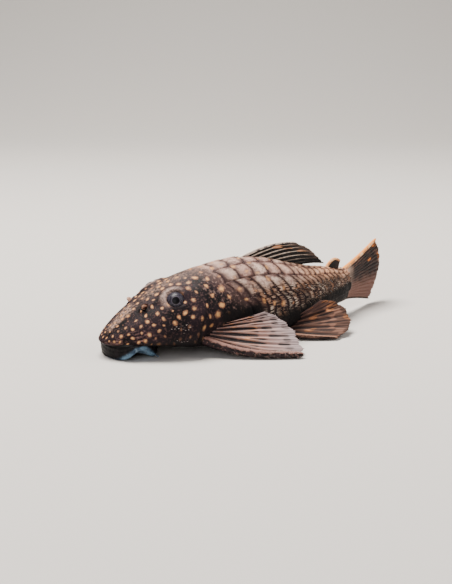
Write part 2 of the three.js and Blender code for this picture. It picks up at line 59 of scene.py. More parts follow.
# %% Body outline, in millimetres
MM = 0.001
SNOUT, SWING_START, TAIL_END = 2.0, 30.0, 90.0
TAIL_SWING, FIN_SWING = np.radians(22.0), np.radians(4.0)
BELLY_FLAT = 50.5
BACK = [(0, 5.4), (3, 6.3), (6, 8.9), (10, 12.3), (14, 15.0), (18, 17.3), (22.5, 19.3), (28, 21.2),
        (33, 22.5), (40, 23.7), (47, 24.3), (54, 23.6), (63, 21.2), (72, 18.7), (81, 16.9), (86, 15.4),
        (90, 15.1)]
BELLY = [(0, 3.1), (3, 3.5), (8, 3.9), (16, 3.5), (22, 2.6), (29, 1.4), (36, 0.2), (44, -0.5), (56, -0.5),
         (60, 0.3), (66, 1.6), (72, 2.8), (81, 4.0), (90, 4.3)]
HALF_WIDTH = [(0, 13.0), (10, 14.0), (20, 14.9), (27, 15.3), (31, 14.7), (36, 13.8), (42, 13.1), (48, 12.3),
              (54, 11.0), (60, 9.4), (66, 7.7), (72, 6.1), (81, 4.2), (86, 3.3), (90, 2.2)]
WIDEST_AT = [(0, 4.6), (10, 4.9), (22, 5.4), (30, 5.8), (47, 6.2), (60, 6.6), (72, 8.0), (81, 9.2), (90, 9.6)]
BACK_ROUND = [(0, 2.2), (22, 2.0), (60, 1.95), (80, 2.2), (90, 2.6)]
BELLY_ROUND = [(0, 2.4), (16, 3.2), (56, 3.2), (72, 2.6), (90, 2.3)]
SNOUT_LENGTH, SNOUT_EDGE, SIDE_SHARE = 30.0, 2.7, 0.36
NOTCH_AT, NOTCH_LENGTH, NOTCH_DEPTH = 31.5, 4.6, 0.15
print("body length:", TAIL_END - SNOUT, "mm, greatest width:", 2 * max(half for _, half in HALF_WIDTH), "mm")

# %% [markdown]
# ## Curves, ramps and bells
#
# The outlines need a smooth line through their points, and every swelling, groove and fade of colour on
# the fish is either a ramp between two places or a bell round one place. A spline object could draw such
# lines, but a function can be asked for its value at thousands of points at once, and the skin needs
# that.

# %% Curves, ramps and bells
def curve(points, x):
    """Smooth curve through the points: between two of them a cubic whose slope at each point is the mean of
    the chords on both sides, weighted so that the nearer neighbour counts more."""
    px, py = np.array(points, float).T
    step = np.diff(px)
    chord = np.diff(py) / step
    inner = (chord[:-1] * step[1:] + chord[1:] * step[:-1]) / (step[:-1] + step[1:])
    slope = np.concatenate([chord[:1], inner, chord[-1:]])
    x = np.clip(x, px[0], px[-1])
    i = np.clip(np.searchsorted(px, x, side="right") - 1, 0, len(step) - 1)
    t = (x - px[i]) / step[i]
    return ((2 * t**3 - 3 * t**2 + 1) * py[i] + (t**3 - 2 * t**2 + t) * step[i] * slope[i]
            + (3 * t**2 - 2 * t**3) * py[i + 1] + (t**3 - t**2) * step[i] * slope[i + 1])


def smooth(x, low, high):
    """0 below low, 1 above high, and an S-shaped ramp between them: 3t squared minus 2t cubed."""
    t = np.clip((x - low) / (high - low), 0, 1)
    return t * t * (3 - 2 * t)


def bump(x, spread):
    """A bell of height 1 at x = 0 that falls to 0.37 at one spread: e to the minus (x / spread) squared."""
    return np.exp(-((x / spread) ** 2))


def mix(a, b, t):
    """a at t = 0, b at t = 1, and in a straight line between."""
    return a + (b - a) * t


print("height of the back at the eye:", round(float(curve(BACK, 22.1)), 2), "mm")

# %% [markdown]
# ## The centreline
#
# The fish's head and shoulders are stiff, so its centreline is straight there. Behind them the heading
# grows with the square of the distance: a fish's tail bends more the nearer it is to the tip. The body
# could be built straight and bent by a modifier, or along a circular arc. The arc would start too
# suddenly at the shoulder, and a modifier would have to be matched by hand on every fin. Here each point
# is placed on the bend at once.

# %% Centreline
def centreline(s):
    """x, y and heading at station s. The heading is the swing times q squared, with q from 0 at the start of
    the bend to 1 at the tail's end; x and y are its running sums, as short series in q."""
    length = TAIL_END - SWING_START
    t = np.clip(s - SWING_START, 0, length)
    turn = TAIL_SWING * (t / length) ** 2
    beyond = np.maximum(s - TAIL_END, 0)
    heading = turn + np.where(s > TAIL_END, FIN_SWING, 0.0)
    x = np.minimum(s, SWING_START) + t * (1 - turn**2 / 10) + beyond * np.cos(heading)
    y = t * turn * (1 / 3 - turn**2 / 42) + beyond * np.sin(heading)
    return x, y, heading


REST_X, REST_Y, _ = centreline(np.array(BELLY_FLAT))


def place(s, y, z):
    """The point at station s, y to the fish's right of the centreline and z above the floor, in metres."""
    s, y, z = np.broadcast_arrays(np.asarray(s, float), y, z)
    cx, cy, heading = centreline(s)
    return MM * np.stack([cx - REST_X - np.sin(heading) * y, cy - REST_Y + np.cos(heading) * y, z], -1)


print("tail base swings to the side by:", round(1000 * float(place(TAIL_END, 0, 0)[1]), 1), "mm")

# %% [markdown]
# ## The body's smooth surface
#
# Without its plates the body is a smooth spindle, flat below. The second parameter runs round it: 0 on
# the belly's midline, 1 on the back, 2 at the belly again. A section is two half super-ellipses that meet
# at the body's widest height. The upper one is nearly round, the lower one squarer, because the belly is
# flat. A plain ellipse would give the fish a keel to stand on. One formula then gives every point, and
# the plates, spots and spines can all be set out on the same two numbers.

# %% Body surface
def nose(s, length):
    """Grows from 0 at the snout to 1 after the given length, along a quarter circle."""
    return np.sqrt(1 - (1 - np.clip((s - SNOUT) / length, 0, 1)) ** 2)


def body_point(s, around):
    """Across the section the point is half-width times cos(angle) to the power 2/n, and up or down it is the
    rise times sin(angle) to the power 2/n, where n is the roundness of the upper or the lower half."""
    s, around = np.broadcast_arrays(np.asarray(s, float), np.asarray(around, float))
    w = np.where(around <= 1, around, 2 - around)
    level = curve(WIDEST_AT, s)
    tip = nose(s, SNOUT_EDGE)
    top = level + (curve(BACK, s) - level) * tip
    bottom = level + (curve(BELLY, s) - level) * tip
    notch = NOTCH_DEPTH * bump(s - NOTCH_AT, NOTCH_LENGTH) * (1 - smooth(w, SIDE_SHARE, SIDE_SHARE + 0.2))
    half = curve(HALF_WIDTH, s) * nose(s, SNOUT_LENGTH) * (1 - notch)
    low = w < SIDE_SHARE
    power = 2 / np.where(low, curve(BELLY_ROUND, s), curve(BACK_ROUND, s))
    angle = np.pi / 2 * np.where(low, 1 - w / SIDE_SHARE, (w - SIDE_SHARE) / (1 - SIDE_SHARE))
    across = half * np.maximum(np.cos(angle), 0) ** power
    rise = np.maximum(np.sin(angle), 0) ** power
    z = np.where(low, level - (level - bottom) * rise, level + (top - level) * rise)
    return place(s, np.where(around <= 1, -across, across), z)


def body_normal(s, around):
    """Outward direction of the surface: the cross product of a small step along the body and one round it."""
    s, around = np.broadcast_arrays(np.asarray(s, float), np.asarray(around, float))
    s = np.maximum(s, SNOUT + 0.404)
    along = body_point(s + 0.4, around) - body_point(s - 0.4, around)
    round_it = body_point(s, (around + 0.012) % 2) - body_point(s, (around - 0.012) % 2)
    n = np.cross(along, round_it)
    return n / np.linalg.norm(n, axis=-1, keepdims=True)


def skin_point(s, around, raised):
    """A point at a height in millimetres over the smooth surface."""
    return body_point(s, around) + MM * np.asarray(raised)[..., None] * body_normal(s, around)


body_size = np.ptp(1000 * body_point(47, np.linspace(0, 2, 41)), axis=0)
print("body width and height at the dorsal fin:", body_size[1:].round(1).tolist(), "mm")

# %% [markdown]
# ## Layout of the plates
#
# Behind the head the body is cased in bony plates, in five rows a side. Each plate's rear edge lies over
# the front of the next. The columns of plates slant back and down from the spine to mid height and then
# run straight down. On the front of the back the plates are twice as long as on the flank, and the lowest
# row of long plates lies half a plate further forward, as bricks do.
#
# A displacement map on an even mesh could show them, but it would need ten times as many points. So the
# place of every edge is a formula first, and the mesh's rings are then run along the edges, which makes
# each step crisp with few points.

# %% Layout of the plates
GILL_LINE = [(0, 24.4), (0.3, 24.8), (0.4, 25.4), (0.5, 26.9), (0.6, 28.9), (0.8, 31.8), (1, 33.2)]
PLATE_ROWS = np.array([0.29, 0.43, 0.57, 0.72, 0.86, 1.0])
COLUMNS, PLATE_START, PLATE_LEAN = 21, 35.4, 9.0
LEAN_SHARE = [(0.29, 0.87), (0.38, 0.98), (0.46, 0.96), (0.54, 0.8), (0.6, 0.59), (0.66, 0.39), (0.73, 0.21),
              (0.8, 0.1), (0.9, 0.02), (1, 0)]
PLATE_HEIGHT, SCALLOP = 0.36, 0.8
LONG_ABOVE, LONG_UP_TO, SHIFTED_BELOW = 0.58, 10, 0.72


def plate_row(w):
    """Which row of plates a girth lies in, 0 for the bare belly, and how far across it is, 0 to 1."""
    row = np.searchsorted(PLATE_ROWS, w, side="left")
    low = PLATE_ROWS[np.maximum(row - 1, 0)]
    high = PLATE_ROWS[np.minimum(row, len(PLATE_ROWS) - 1)]
    return row, np.where(row > 0, (w - low) / np.maximum(high - low, 1e-9), 0.0)


def plate_edge(column, w):
    """Station of a column's front edge: evenly spaced at the spine, leaning back down the flank by a share of
    the lean that shrinks towards the tail, and bowed back within each plate."""
    u = np.clip(column / COLUMNS, 0, 1)
    row, across = plate_row(w)
    lean = PLATE_LEAN * (1 - 0.85 * smooth(u, 0.4, 0.95)) * curve(LEAN_SHARE, w)
    bow = np.where(row > 0, SCALLOP * (1 - (2 * across - 1) ** 2), 0.0)
    return mix(PLATE_START, TAIL_END - 1, u) + lean + bow


def along_plate(column, w, share):
    """How far along its plate a point lies, 0 to 1, the column where the plate starts, and how many columns
    long it is. On the front of the back two columns form one long plate, and the lowest row of long plates
    lies one column further forward, as bricks do."""
    shifted = column + (w < SHIFTED_BELOW)
    long = (w > LONG_ABOVE) & (shifted < LONG_UP_TO)
    along = np.where(long, (shifted % 2 + share) / 2, share)
    return along, np.where(long, column - shifted % 2, column), np.where(long, 2, 1)


first_edge = plate_edge(0, np.linspace(1, 0.3, 5))
print("front edge of the first plates, spine to belly:", first_edge.round(1).tolist())

# %% [markdown]
# ## Rings and long lines of the skin
#
# The skin's mesh is a grid of rings round the body and long lines along it. The rings are close together
# at the snout and at every plate's edge, and the long lines between the rows of plates. That is where the
# real surface turns sharply, so that is where the points are worth having. An even grid fine enough for
# the seams would be ten times as heavy.

# %% Grid of the skin
ROW_STEPS = np.array([0, 0.015, 0.04, 0.08, 0.15, 0.25, 0.37, 0.5, 0.63, 0.75, 0.85, 0.92, 0.96, 0.985])
PLATE_STEPS = np.array([0, 0.03, 0.08, 0.17, 0.3, 0.45, 0.6, 0.74, 0.86, 0.94, 0.975])
FRONT_RINGS, END_RINGS = 185, 8
COLUMN_LENGTH, TAIL_CAP = 2.55, 1.6
half_girths = np.concatenate(
    [np.linspace(0, PLATE_ROWS[0], 14, endpoint=False)]
    + [mix(a, b, ROW_STEPS) for a, b in zip(PLATE_ROWS[:-1], PLATE_ROWS[1:])] + [[1.0]])
girths = np.concatenate([half_girths, 2 - half_girths[-2:0:-1]])
W = np.where(girths <= 1, girths, 2 - girths)
side_of = np.where(girths <= 1, -1, 1)

front_share = (np.arange(1, FRONT_RINGS) / FRONT_RINGS) ** 1.2
front_s = mix(SNOUT, plate_edge(0, W)[None], front_share[:, None])
column = np.repeat(np.arange(COLUMNS), len(PLATE_STEPS))
share = np.tile(PLATE_STEPS, COLUMNS)
front = plate_edge(column[:, None], W[None])
rear = plate_edge(column[:, None] + 1, W[None])
plate_s = mix(front, rear, share[:, None])
end_share = np.arange(END_RINGS) / END_RINGS
last_edge = plate_edge(COLUMNS, W)
end_s = last_edge[None] + TAIL_CAP * end_share[:, None]
skin_s = np.concatenate([front_s, plate_s, end_s])
skin_w = np.broadcast_to(W, skin_s.shape)
skin_around = np.broadcast_to(girths, skin_s.shape)
skin_plate = np.concatenate([(front_s - plate_edge(0, W)) / COLUMN_LENGTH,
                             np.broadcast_to((column + share)[:, None], plate_s.shape),
                             np.full(end_s.shape, float(COLUMNS))])
print("skin grid:", skin_s.shape, "triangles:", 2 * skin_s.size)

# %% [markdown]
# ## Relief of the plates
#
# A plate rises from its front edge to its rear edge and then drops in one step onto the next. It is
# highest along its middle, with a shallow groove to the rows above and below, and the plates along the
# side bear a low keel. Near the spine they flatten. Separate tiles laid on a body would look the same
# from afar, but would leave gaps and doubled walls, so the relief is a height in millimetres added to the
# one smooth surface.

# %% Relief of the plates
PLATE_PROFILE = [(0, -0.35), (0.03, 0.05), (0.17, 0.42), (0.6, 0.8), (0.94, 1.0), (1, 0.96)]
GROOVE_DEPTH, KEEL_HEIGHT, KEEL_ROWS, MIDLINE = 0.13, 0.12, [2, 3], 0.985


def plate_flatness(w):
    """How much of a plate's height is left at a girth: all of it on the flank, 0.35 of it at the spine."""
    return mix(1.0, 0.35, smooth(w, 0.84, 1.0))


row, row_across = plate_row(W)
plated = (row > 0).astype(float)
inner_edge = np.where(W > MIDLINE, 0.0, 1.0)
from_row_edge = np.minimum(row_across, 1 - row_across)
along, first_column, columns_long = along_plate(column[:, None], W[None], share[:, None])
profile = np.interp(along, *zip(*PLATE_PROFILE))
crown = 0.7 + 0.3 * np.sin(np.pi * np.clip(row_across, 0, 1)) ** 0.8
row_groove = bump(from_row_edge, 0.03) * inner_edge
keel = KEEL_HEIGHT * bump(row_across - 0.5, 0.13) * np.isin(row, KEEL_ROWS)
raised = PLATE_HEIGHT * crown * profile - GROOVE_DEPTH * row_groove
plate_relief = plated * (plate_flatness(W) * raised + keel * along)
end_relief = np.broadcast_to(plate_relief[-1] * 0.9, end_s.shape)
print("relief of the plates from", round(plate_relief.min(), 2), "to", round(plate_relief.max(), 2), "mm")

# %% [markdown]
# ## Seams, blotches, rims and tones of the plates
#
# The seam between two plates is a thin dark line with a painted soft shadow to both sides. Low on the
# flank a plate has an ochre blotch at its middle; on the back the same blotch is paler, a painted
# highlight at the plate's middle. On the back its rim is darker than its heart, and no two plates are
# quite of one tone. A painted picture could carry all this, but a picture isn't part of this model.
# Instead each mark is worked out from a point's distance to its plate's edges, once for each plate, and
# carried by the mesh.

# %% Marks of the plates
rng = np.random.default_rng(11)
ROW_WIDTH = np.array([9.0, 4.5, 4.2, 3.9, 4.2, 4.0])
PLATES_A_COLUMN, TOP_ROW = 12, 5
edge_mm = 0.75 * np.minimum(along, 1 - along) * columns_long * np.maximum(rear - front, 0.5)
row_edge_mm = from_row_edge * ROW_WIDTH[np.minimum(row, TOP_ROW)]
# Each seam is a thin dark line with a wider painted soft shadow to both sides.
across_seam = np.maximum(bump(edge_mm, 0.55), 0.6 * bump(edge_mm, 1.2))
along_seam = np.maximum(bump(row_edge_mm, 0.34), 0.45 * bump(row_edge_mm, 0.8)) * inner_edge
plate_seam = plated * np.maximum(across_seam, 0.45 * along_seam)
front_seam = 0.8 * bump(front_s - plate_edge(0, W), 0.4)
in_column = np.minimum(row, TOP_ROW) + np.where(side_of > 0, PLATES_A_COLUMN // 2, 0)
plate_number = PLATES_A_COLUMN * (first_column + 1) + in_column
plate_count = PLATES_A_COLUMN * (COLUMNS + 2)
plate_tone = rng.random(plate_count)[plate_number]
blotch_size = np.maximum(rng.uniform(-0.7, 1.1, plate_count), 0)[plate_number]
in_middle = bump(row_across - 0.5, 0.3) * bump(along - 0.55, 0.3)
# On the flank an ochre blotch; on the pale back the same value is a painted highlight at the plate's middle.
plate_blotch = plated * blotch_size * in_middle
off_middle = np.where(row == TOP_ROW, 1 - row_across, np.abs(2 * row_across - 1))
plate_rim = plated * (np.abs(2 * along - 1) ** 2.5 + off_middle**2.5) ** 0.4
print("plates:", len(np.unique(plate_number)))

# %% [markdown]
# ## Eyes, brows and nostrils in the skin
#
# The eyes sit high and far apart, each under a swollen brow. The eye's socket and the nostrils' pits are
# sunk into the same surface as all the rest. Holes could be cut there, but their rims would have to be
# sewn to the rings, so the skin is pushed in instead and has no holes. Distances are taken in space, not
# along the skin, so that the brow stays round where the head slopes.

# %% Relief round the eyes and nostrils
EYE_S, EYE_Y, EYE_Z, EYE_R = 22.1, 7.5, 15.3, 2.8
NOSTRIL_S, NOSTRIL_W = 13.7, 0.83
BROW_SWELL, BROW_EDGE, SOCKET_DEPTH = 0.75, 0.6, 0.9
NOSTRIL_RIM, NOSTRIL_DEPTH, NOSTRIL_SHAPE = 0.4, 1.1, [1.25, 0.85, 1.1]
eye_centre = {side: place(EYE_S, side * EYE_Y, EYE_Z) for side in (-1, 1)}


def nearest_of_pair(left, right):
    """For every long line of the grid, the one of two points that lies on the same side."""
    return np.where((side_of == -1)[None, :, None], left, right)


front_w = np.broadcast_to(W, front_s.shape)
front_point = body_point(front_s, np.broadcast_to(girths, front_s.shape)) / MM
to_eye = front_point - nearest_of_pair(eye_centre[-1] / MM, eye_centre[1] / MM)
eye_distance = np.linalg.norm(to_eye, axis=-1)
above_eye = smooth(to_eye[..., 2] - 0.25 * to_eye[..., 0], -0.2, 2.9)
ahead_of_eye = smooth(to_eye[..., 2] - 0.7 * to_eye[..., 0], 0.3, 3.4)
brow = BROW_SWELL * bump(eye_distance - 3.9, 1.15) + BROW_EDGE * bump(eye_distance - 3.0, 0.45)
brow = brow * mix(0.1, 1, above_eye)
socket = -SOCKET_DEPTH * smooth(eye_distance, 3.1, 2.3)
to_nostril = front_point - nearest_of_pair(body_point(NOSTRIL_S, NOSTRIL_W) / MM,
                                           body_point(NOSTRIL_S, 2 - NOSTRIL_W) / MM)
nostril_distance = np.linalg.norm(to_nostril / NOSTRIL_SHAPE, axis=-1)
nostril_edge = NOSTRIL_RIM * bump(nostril_distance - 1.15, 0.32)
nostril = nostril_edge - NOSTRIL_DEPTH * bump(nostril_distance, 0.62)
print("brow rises to", round(brow.max(), 2), "mm, nostril sinks to", round(nostril.min(), 2), "mm")

# %% [markdown]
# ## Snout, cheek and gill cover
#
# From the brow a low ridge runs to the nostril, the skull has a soft crest, and the cheek swells. Fine
# wrinkles run round the snout's edge, where the skin is soft, and the gill cover ends in a small step low
# on the cheek. Each of these could be sculpted with a brush. As bells and ramps they have a height, a
# place and a length that can be read and changed.

# %% Relief of the snout and cheek
RIDGE_HEIGHT, CREST_HEIGHT, SNOUT_DIP, CHEEK_SWELL = 0.4, 0.5, 0.35, 0.6
GILL_HEIGHT, GILL_GROOVE, WRINKLE_HEIGHT = 0.4, 0.15, 0.1
ridge_line = mix(0.83, 0.8, smooth(front_s, 14, 19))
ridge = RIDGE_HEIGHT * bump(front_w - ridge_line, 0.035) * bump(front_s - 16.5, 2.6)
before_plates = smooth(skin_plate[:len(front_s)], 0, -1.5)
crest = CREST_HEIGHT * bump(front_w - 1, 0.07) * smooth(front_s, 20, 31) * before_plates
snout_dip = -SNOUT_DIP * bump(front_w - 0.8, 0.09) * bump(front_s - 9, 6)
cheek = CHEEK_SWELL * bump(front_w - 0.42, 0.1) * bump(front_s - 19, 6)
past_gill = front_s - curve(GILL_LINE, front_w)
low_gill = smooth(front_w, 0.28, 0.36) * smooth(front_w, 0.62, 0.46)
gill_rise = GILL_HEIGHT * smooth(past_gill, -5, 0) * smooth(past_gill, 0.9, 0.2)
gill_step = (gill_rise - GILL_GROOVE * bump(past_gill - 1, 0.6)) * low_gill
wrinkle_at = bump(front_w - 0.42, 0.13) * smooth(front_s, 16, 9)
wrinkle_wave = np.sin(front_w * 120 + 3 * np.sin(front_s * 0.8))
wrinkles = WRINKLE_HEIGHT * wrinkle_wave * wrinkle_at
front_relief = brow + socket + nostril + ridge + crest + snout_dip + cheek + gill_step + wrinkles
skin_relief = np.concatenate([front_relief, plate_relief, end_relief])
print("relief of the head from", round(front_relief.min(), 2), "to", round(front_relief.max(), 2), "mm")

# %% [markdown]
# ## Spots
#
# The head and shoulders are dark with round tan spots, small and crowded on the snout, larger and wider
# apart towards the back, fading on the pale plates. They are set out as such spots grow: at random, but
# each keeps its distance from the others. A regular grid or a cell pattern of the shader would look
# printed. Each point of the skin then holds its distance to the nearest spot, counted in that spot's
# radius. Most spots are a little longer one way than the other.

# %% Spot centres
SPACING = [(2, 1.4), (10, 1.75), (20, 2.05), (28, 2.55), (36, 3.1), (50, 3.7), (62, 4.0)]
RADIUS = [(2, 0.48), (10, 0.6), (20, 0.7), (28, 0.84), (36, 1.0), (50, 1.0), (62, 0.8)]
TRIES = 20000
tries_s = SNOUT + 0.6 + 60 * rng.random(TRIES) ** 1.15
tries_around = rng.uniform(0.34, 1.66, TRIES)
tries_at = body_point(tries_s, tries_around) / MM
tries_spacing = curve(SPACING, tries_s)
kept = []
for i in range(TRIES):
    if not kept or np.min(np.linalg.norm(tries_at[kept] - tries_at[i], axis=1)) > tries_spacing[i]:
        kept.append(i)
spot_at, spot_s = tries_at[kept], tries_s[kept]
spot_radius = curve(RADIUS, spot_s) * rng.uniform(0.7, 1.25, len(kept))
spot_strength = rng.uniform(0.6, 1.0, len(kept))
spot_axis = rng.normal(size=(len(kept), 3))
spot_axis /= np.linalg.norm(spot_axis, axis=1, keepdims=True)
spot_squeeze = rng.uniform(0, 2.2, len(kept))


def nearest_spot(points):
    """For each point in millimetres, the smallest distance to a spot over that spot's radius, and which
    spot. Distances along a spot's own axis count for more, which makes the spot an oval across it."""
    best = np.full(len(points), 9.0)
    which = np.zeros(len(points), int)
    for i in range(len(spot_at)):
        off = points - spot_at[i]
        d = np.sqrt((off**2).sum(1) + spot_squeeze[i] * (off @ spot_axis[i]) ** 2) / spot_radius[i]
        closer = d < best
        best[closer] = d[closer]
        which[closer] = i
    return best, which


print("spots:", len(kept))

# %% [markdown]
# ## Meshes and objects
#
# Every piece is made from two whole arrays, its points and its triangles, handed to Blender in one go.
# Adding points one at a time, or with the modelling operators, would be far slower for a skin of so many
# triangles. The same function puts the piece on the model's one body and gives it its kind of surface.

# %% Mesh and object
def add_mesh(name, points, faces, material, attributes=None):
    """Makes an object from an array of points in metres and an array of triangles."""
    points, faces = np.asarray(points, np.float32), np.asarray(faces, np.int32)
    mesh = bpy.data.meshes.new(name)
    mesh.vertices.add(len(points))
    mesh.vertices.foreach_set("co", points.ravel())
    mesh.loops.add(faces.size)
    mesh.loops.foreach_set("vertex_index", faces.ravel())
    mesh.polygons.add(len(faces))
    mesh.polygons.foreach_set("loop_start", np.arange(0, faces.size, 3, dtype=np.int32))
    mesh.polygons.foreach_set("use_smooth", np.ones(len(faces), bool))
    for key, values in (attributes or {}).items():
        layer = mesh.attributes.new(key, "FLOAT", "POINT")
        layer.data.foreach_set("value", np.asarray(values, np.float32).ravel())
    mesh.update()
    mesh.validate()
    mesh.materials.append(material)
    made = bpy.data.objects.new(name, mesh)
    bpy.context.scene.collection.objects.link(made)
    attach(made, "root")
    return made


print("every piece rides on: root")

# %% [markdown]
# ## Tubes, caps and joins
#
# A fish is mostly tubes: the body, the spines, the feelers, even the lips and the eyeballs are rings that
# follow one another. Blender's own tubes end open or in a flat disc. These functions close them with a
# single point at each end and number the triangles so that all of them face outwards.

# %% Tubes and caps
def ring_faces(rings, around):
    """Triangles of a closed tube of rings, each with the same number of points, numbered ring by ring."""
    r, i = np.meshgrid(np.arange(rings - 1), np.arange(around), indexing="ij")
    a, b = r * around + i, r * around + (i + 1) % around
    c, d = a + around, b + around
    return np.concatenate([np.stack([a, c, d], -1).reshape(-1, 3), np.stack([a, d, b], -1).reshape(-1, 3)])


def cap_faces(first, around, pole, forward):
    """Triangles from a ring that starts at point first to a single pole point."""
    i = np.arange(around)
    a, b = first + i, first + (i + 1) % around
    p = np.full(around, pole)
    return np.stack([p, a, b] if forward else [p, b, a], -1)


def tube_mesh(rings, start, end):
    """Points and triangles of rings (rings, around, 3) closed by a start and an end point."""
    count, around = rings.shape[:2]
    points = np.concatenate([rings.reshape(-1, 3), [start], [end]])
    faces = np.concatenate([ring_faces(count, around), cap_faces(0, around, count * around, True),
                            cap_faces((count - 1) * around, around, count * around + 1, False)])
    return points, faces


def join(parts):
    """Several (points, faces) as one, with the faces renumbered."""
    offsets = np.cumsum([0] + [len(p) for p, _ in parts[:-1]])
    return np.concatenate([p for p, _ in parts]), np.concatenate([f + o for (_, f), o in zip(parts, offsets)])


print("triangles of an open tube of 3 rings of 8:", len(ring_faces(3, 8)))

# %% [markdown]
# ## Screen colours
#
# Colours are judged by eye on a screen, where they run from 0 to 255. The shader needs amounts of light
# instead, and a screen shows the light of a number raised to a power of about 2.4. Colours could be typed
# in as light, but then a dark brown and a black would look alike in the text, so they are given as on the
# screen.

# %% Screen colours
def paint(r, g, b):
    """Screen colour 0 to 255 as linear light: (c + 0.055) / 1.055 to the power 2.4 above the dark end."""
    c = np.array([r, g, b]) / 255
    linear = np.where(c <= 0.04045, c / 12.92, ((c + 0.055) / 1.055) ** 2.4)
    return (*[float(x) for x in linear], 1.0)


print("light of a middle grey, 128 on the screen:", round(paint(128, 128, 128)[0], 3))

# %% [markdown]
# ## Shaders written as sums
#
# The skin's colour is built up in layers, as a painter would: a dark ground, clouds, specks, seams and
# spots on top. In Blender each layer is a few nodes. Drawn by hand in the node editor they would fill a
# wall, so a short class names the few kinds that are needed, and each name returns the output of its
# node. A colour is then written like a sum. All patterns come from the object's own coordinates or from
# what the mesh carries.

# %% Shader
class Shader:
    """A material with one Principled surface, and short names for the nodes that feed it. A ramp is an
    S-shaped step from one value to another, and jitter shifts a value up and down by noise."""

    def __init__(self, name, roughness, specular=0.3, coat=0.0):
        self.material = bpy.data.materials.new(name)
        self.material.use_nodes = True
        self.tree = self.material.node_tree
        self.surface = self.tree.nodes["Principled BSDF"]
        self.surface.inputs["Roughness"].default_value = roughness
        self.surface.inputs["Specular IOR Level"].default_value = specular
        self.surface.inputs["Coat Weight"].default_value = coat
        self.surface.inputs["Coat Roughness"].default_value = 0.12

    def node(self, kind, inputs, output=0, **settings):
        made = self.tree.nodes.new(kind)
        for key, value in settings.items():
            setattr(made, key, value)
        for key, value in inputs.items():
            self.feed(made.inputs[key], value)
        return made.outputs[output]

    def feed(self, socket, value):
        if isinstance(value, bpy.types.NodeSocket):
            self.tree.links.new(value, socket)
        else:
            socket.default_value = value

    def carried(self, name):
        return self.node("ShaderNodeAttribute", {}, "Fac", attribute_name=name)

    def along(self, *axes):
        return self.node("ShaderNodeCombineXYZ", dict(enumerate(axes)))

    def noise(self, scale, detail=3.0, at=None):
        at = at or self.node("ShaderNodeTexCoord", {}, "Object")
        return self.node("ShaderNodeTexNoise", {"Vector": at, "Scale": scale, "Detail": detail}, "Fac")

    def cells(self, scale):
        at = self.node("ShaderNodeTexCoord", {}, "Object")
        return self.node("ShaderNodeTexVoronoi", {"Vector": at, "Scale": scale}, "Distance")

    def add(self, a, b):
        return self.node("ShaderNodeMath", {0: a, 1: b}, operation="ADD")

    def times(self, a, b):
        return self.node("ShaderNodeMath", {0: a, 1: b}, operation="MULTIPLY")

    def fraction(self, value):
        return self.node("ShaderNodeMath", {0: value}, operation="FRACT")

    def jitter(self, value, noise, amount):
        return self.add(value, self.times(self.add(noise, -0.5), amount))

    def ramp(self, value, low, high, to_low=0.0, to_high=1.0):
        return self.node("ShaderNodeMapRange", {"Value": value, "From Min": low, "From Max": high,
                                                "To Min": to_low, "To Max": to_high},
                         interpolation_type="SMOOTHSTEP")

    def blend(self, amount, a, b):
        return self.node("ShaderNodeMix", {0: amount, 6: a, 7: b}, 2, data_type="RGBA")

    def bump(self, height, strength, distance, normal=None):
        inputs = {"Height": height, "Strength": strength, "Distance": distance}
        if normal is not None:
            inputs["Normal"] = normal
        return self.node("ShaderNodeBump", inputs)

    def finish(self, colour, normal=None, roughness=None):
        self.feed(self.surface.inputs["Base Color"], colour)
        if normal is not None:
            self.feed(self.surface.inputs["Normal"], normal)
        if roughness is not None:
            self.feed(self.surface.inputs["Roughness"], roughness)
        return self.material


print("shader layers:", [key for key in vars(Shader) if not key.startswith("_")])

# %% [markdown]
# ## The three grounds of the skin
#
# The head is brown-black with a touch of purple and fine pale specks. The plates of the back are pale
# pinkish brown, mottled, and a warmer tan towards the tail. Low on the flank the skin stays nearly black,
# broken into ochre and cream dashes by the rows of tiny spines, like the teeth of a comb.
#
# One ground for the whole fish with a colour ramp along it would be simpler, but the three differ in
# pattern and not only in colour. Each is a function of its own, and the material mixes them by place.

# %% Grounds of the skin
def head_ground(sh, cloud, fine):
    """Brown-black with purple clouds and fine pale specks."""
    dark = sh.blend(sh.ramp(cloud, 0.38, 0.62), paint(9, 6, 10), paint(36, 24, 30))
    return sh.blend(sh.ramp(fine, 0.52, 0.68, 0.0, 0.5), dark, paint(100, 73, 70))


def back_ground(sh, plate, tone, cloud, grain, fine):
    """Pale pinkish brown, each plate of its own tone, warmer tan towards the tail."""
    pale = sh.blend(sh.jitter(tone, cloud, 1.6), paint(204, 166, 150), paint(240, 208, 190))
    pale = sh.blend(sh.ramp(sh.noise(800, 4), 0.46, 0.64, 0.0, 0.75), pale, paint(146, 112, 104))
    pale = sh.blend(sh.ramp(grain, 0.5, 0.68, 0.0, 0.6), pale, paint(120, 90, 84))
    warm = sh.blend(sh.ramp(fine, 0.44, 0.66), paint(244, 184, 142), paint(172, 118, 94))
    return sh.blend(sh.ramp(plate, 7.0, 15.0), pale, warm)


def flank_ground(sh, around, plate, tone, cloud):
    """Nearly black, with ochre and cream dashes along the fish in each plate, like the teeth of a comb."""
    in_plate = sh.fraction(plate)
    teeth = sh.noise(1.0, 1, sh.along(sh.times(around, 88.0), sh.times(plate, 0.9), 0.0))
    comb = sh.times(sh.ramp(in_plate, 0.26, 0.5), sh.ramp(in_plate, 1.0, 0.9))
    patchy = sh.ramp(sh.jitter(tone, sh.noise(260, 2), 2.4), 0.1, 0.8, 0.25, 1.0)
    teeth = sh.times(sh.times(sh.ramp(teeth, 0.44, 0.54), comb), patchy)
    bright = sh.blend(sh.ramp(cloud, 0.4, 0.6), paint(200, 152, 122), paint(244, 224, 204))
    return sh.blend(teeth, paint(14, 9, 12), bright)


print("grounds: head, back and flank")
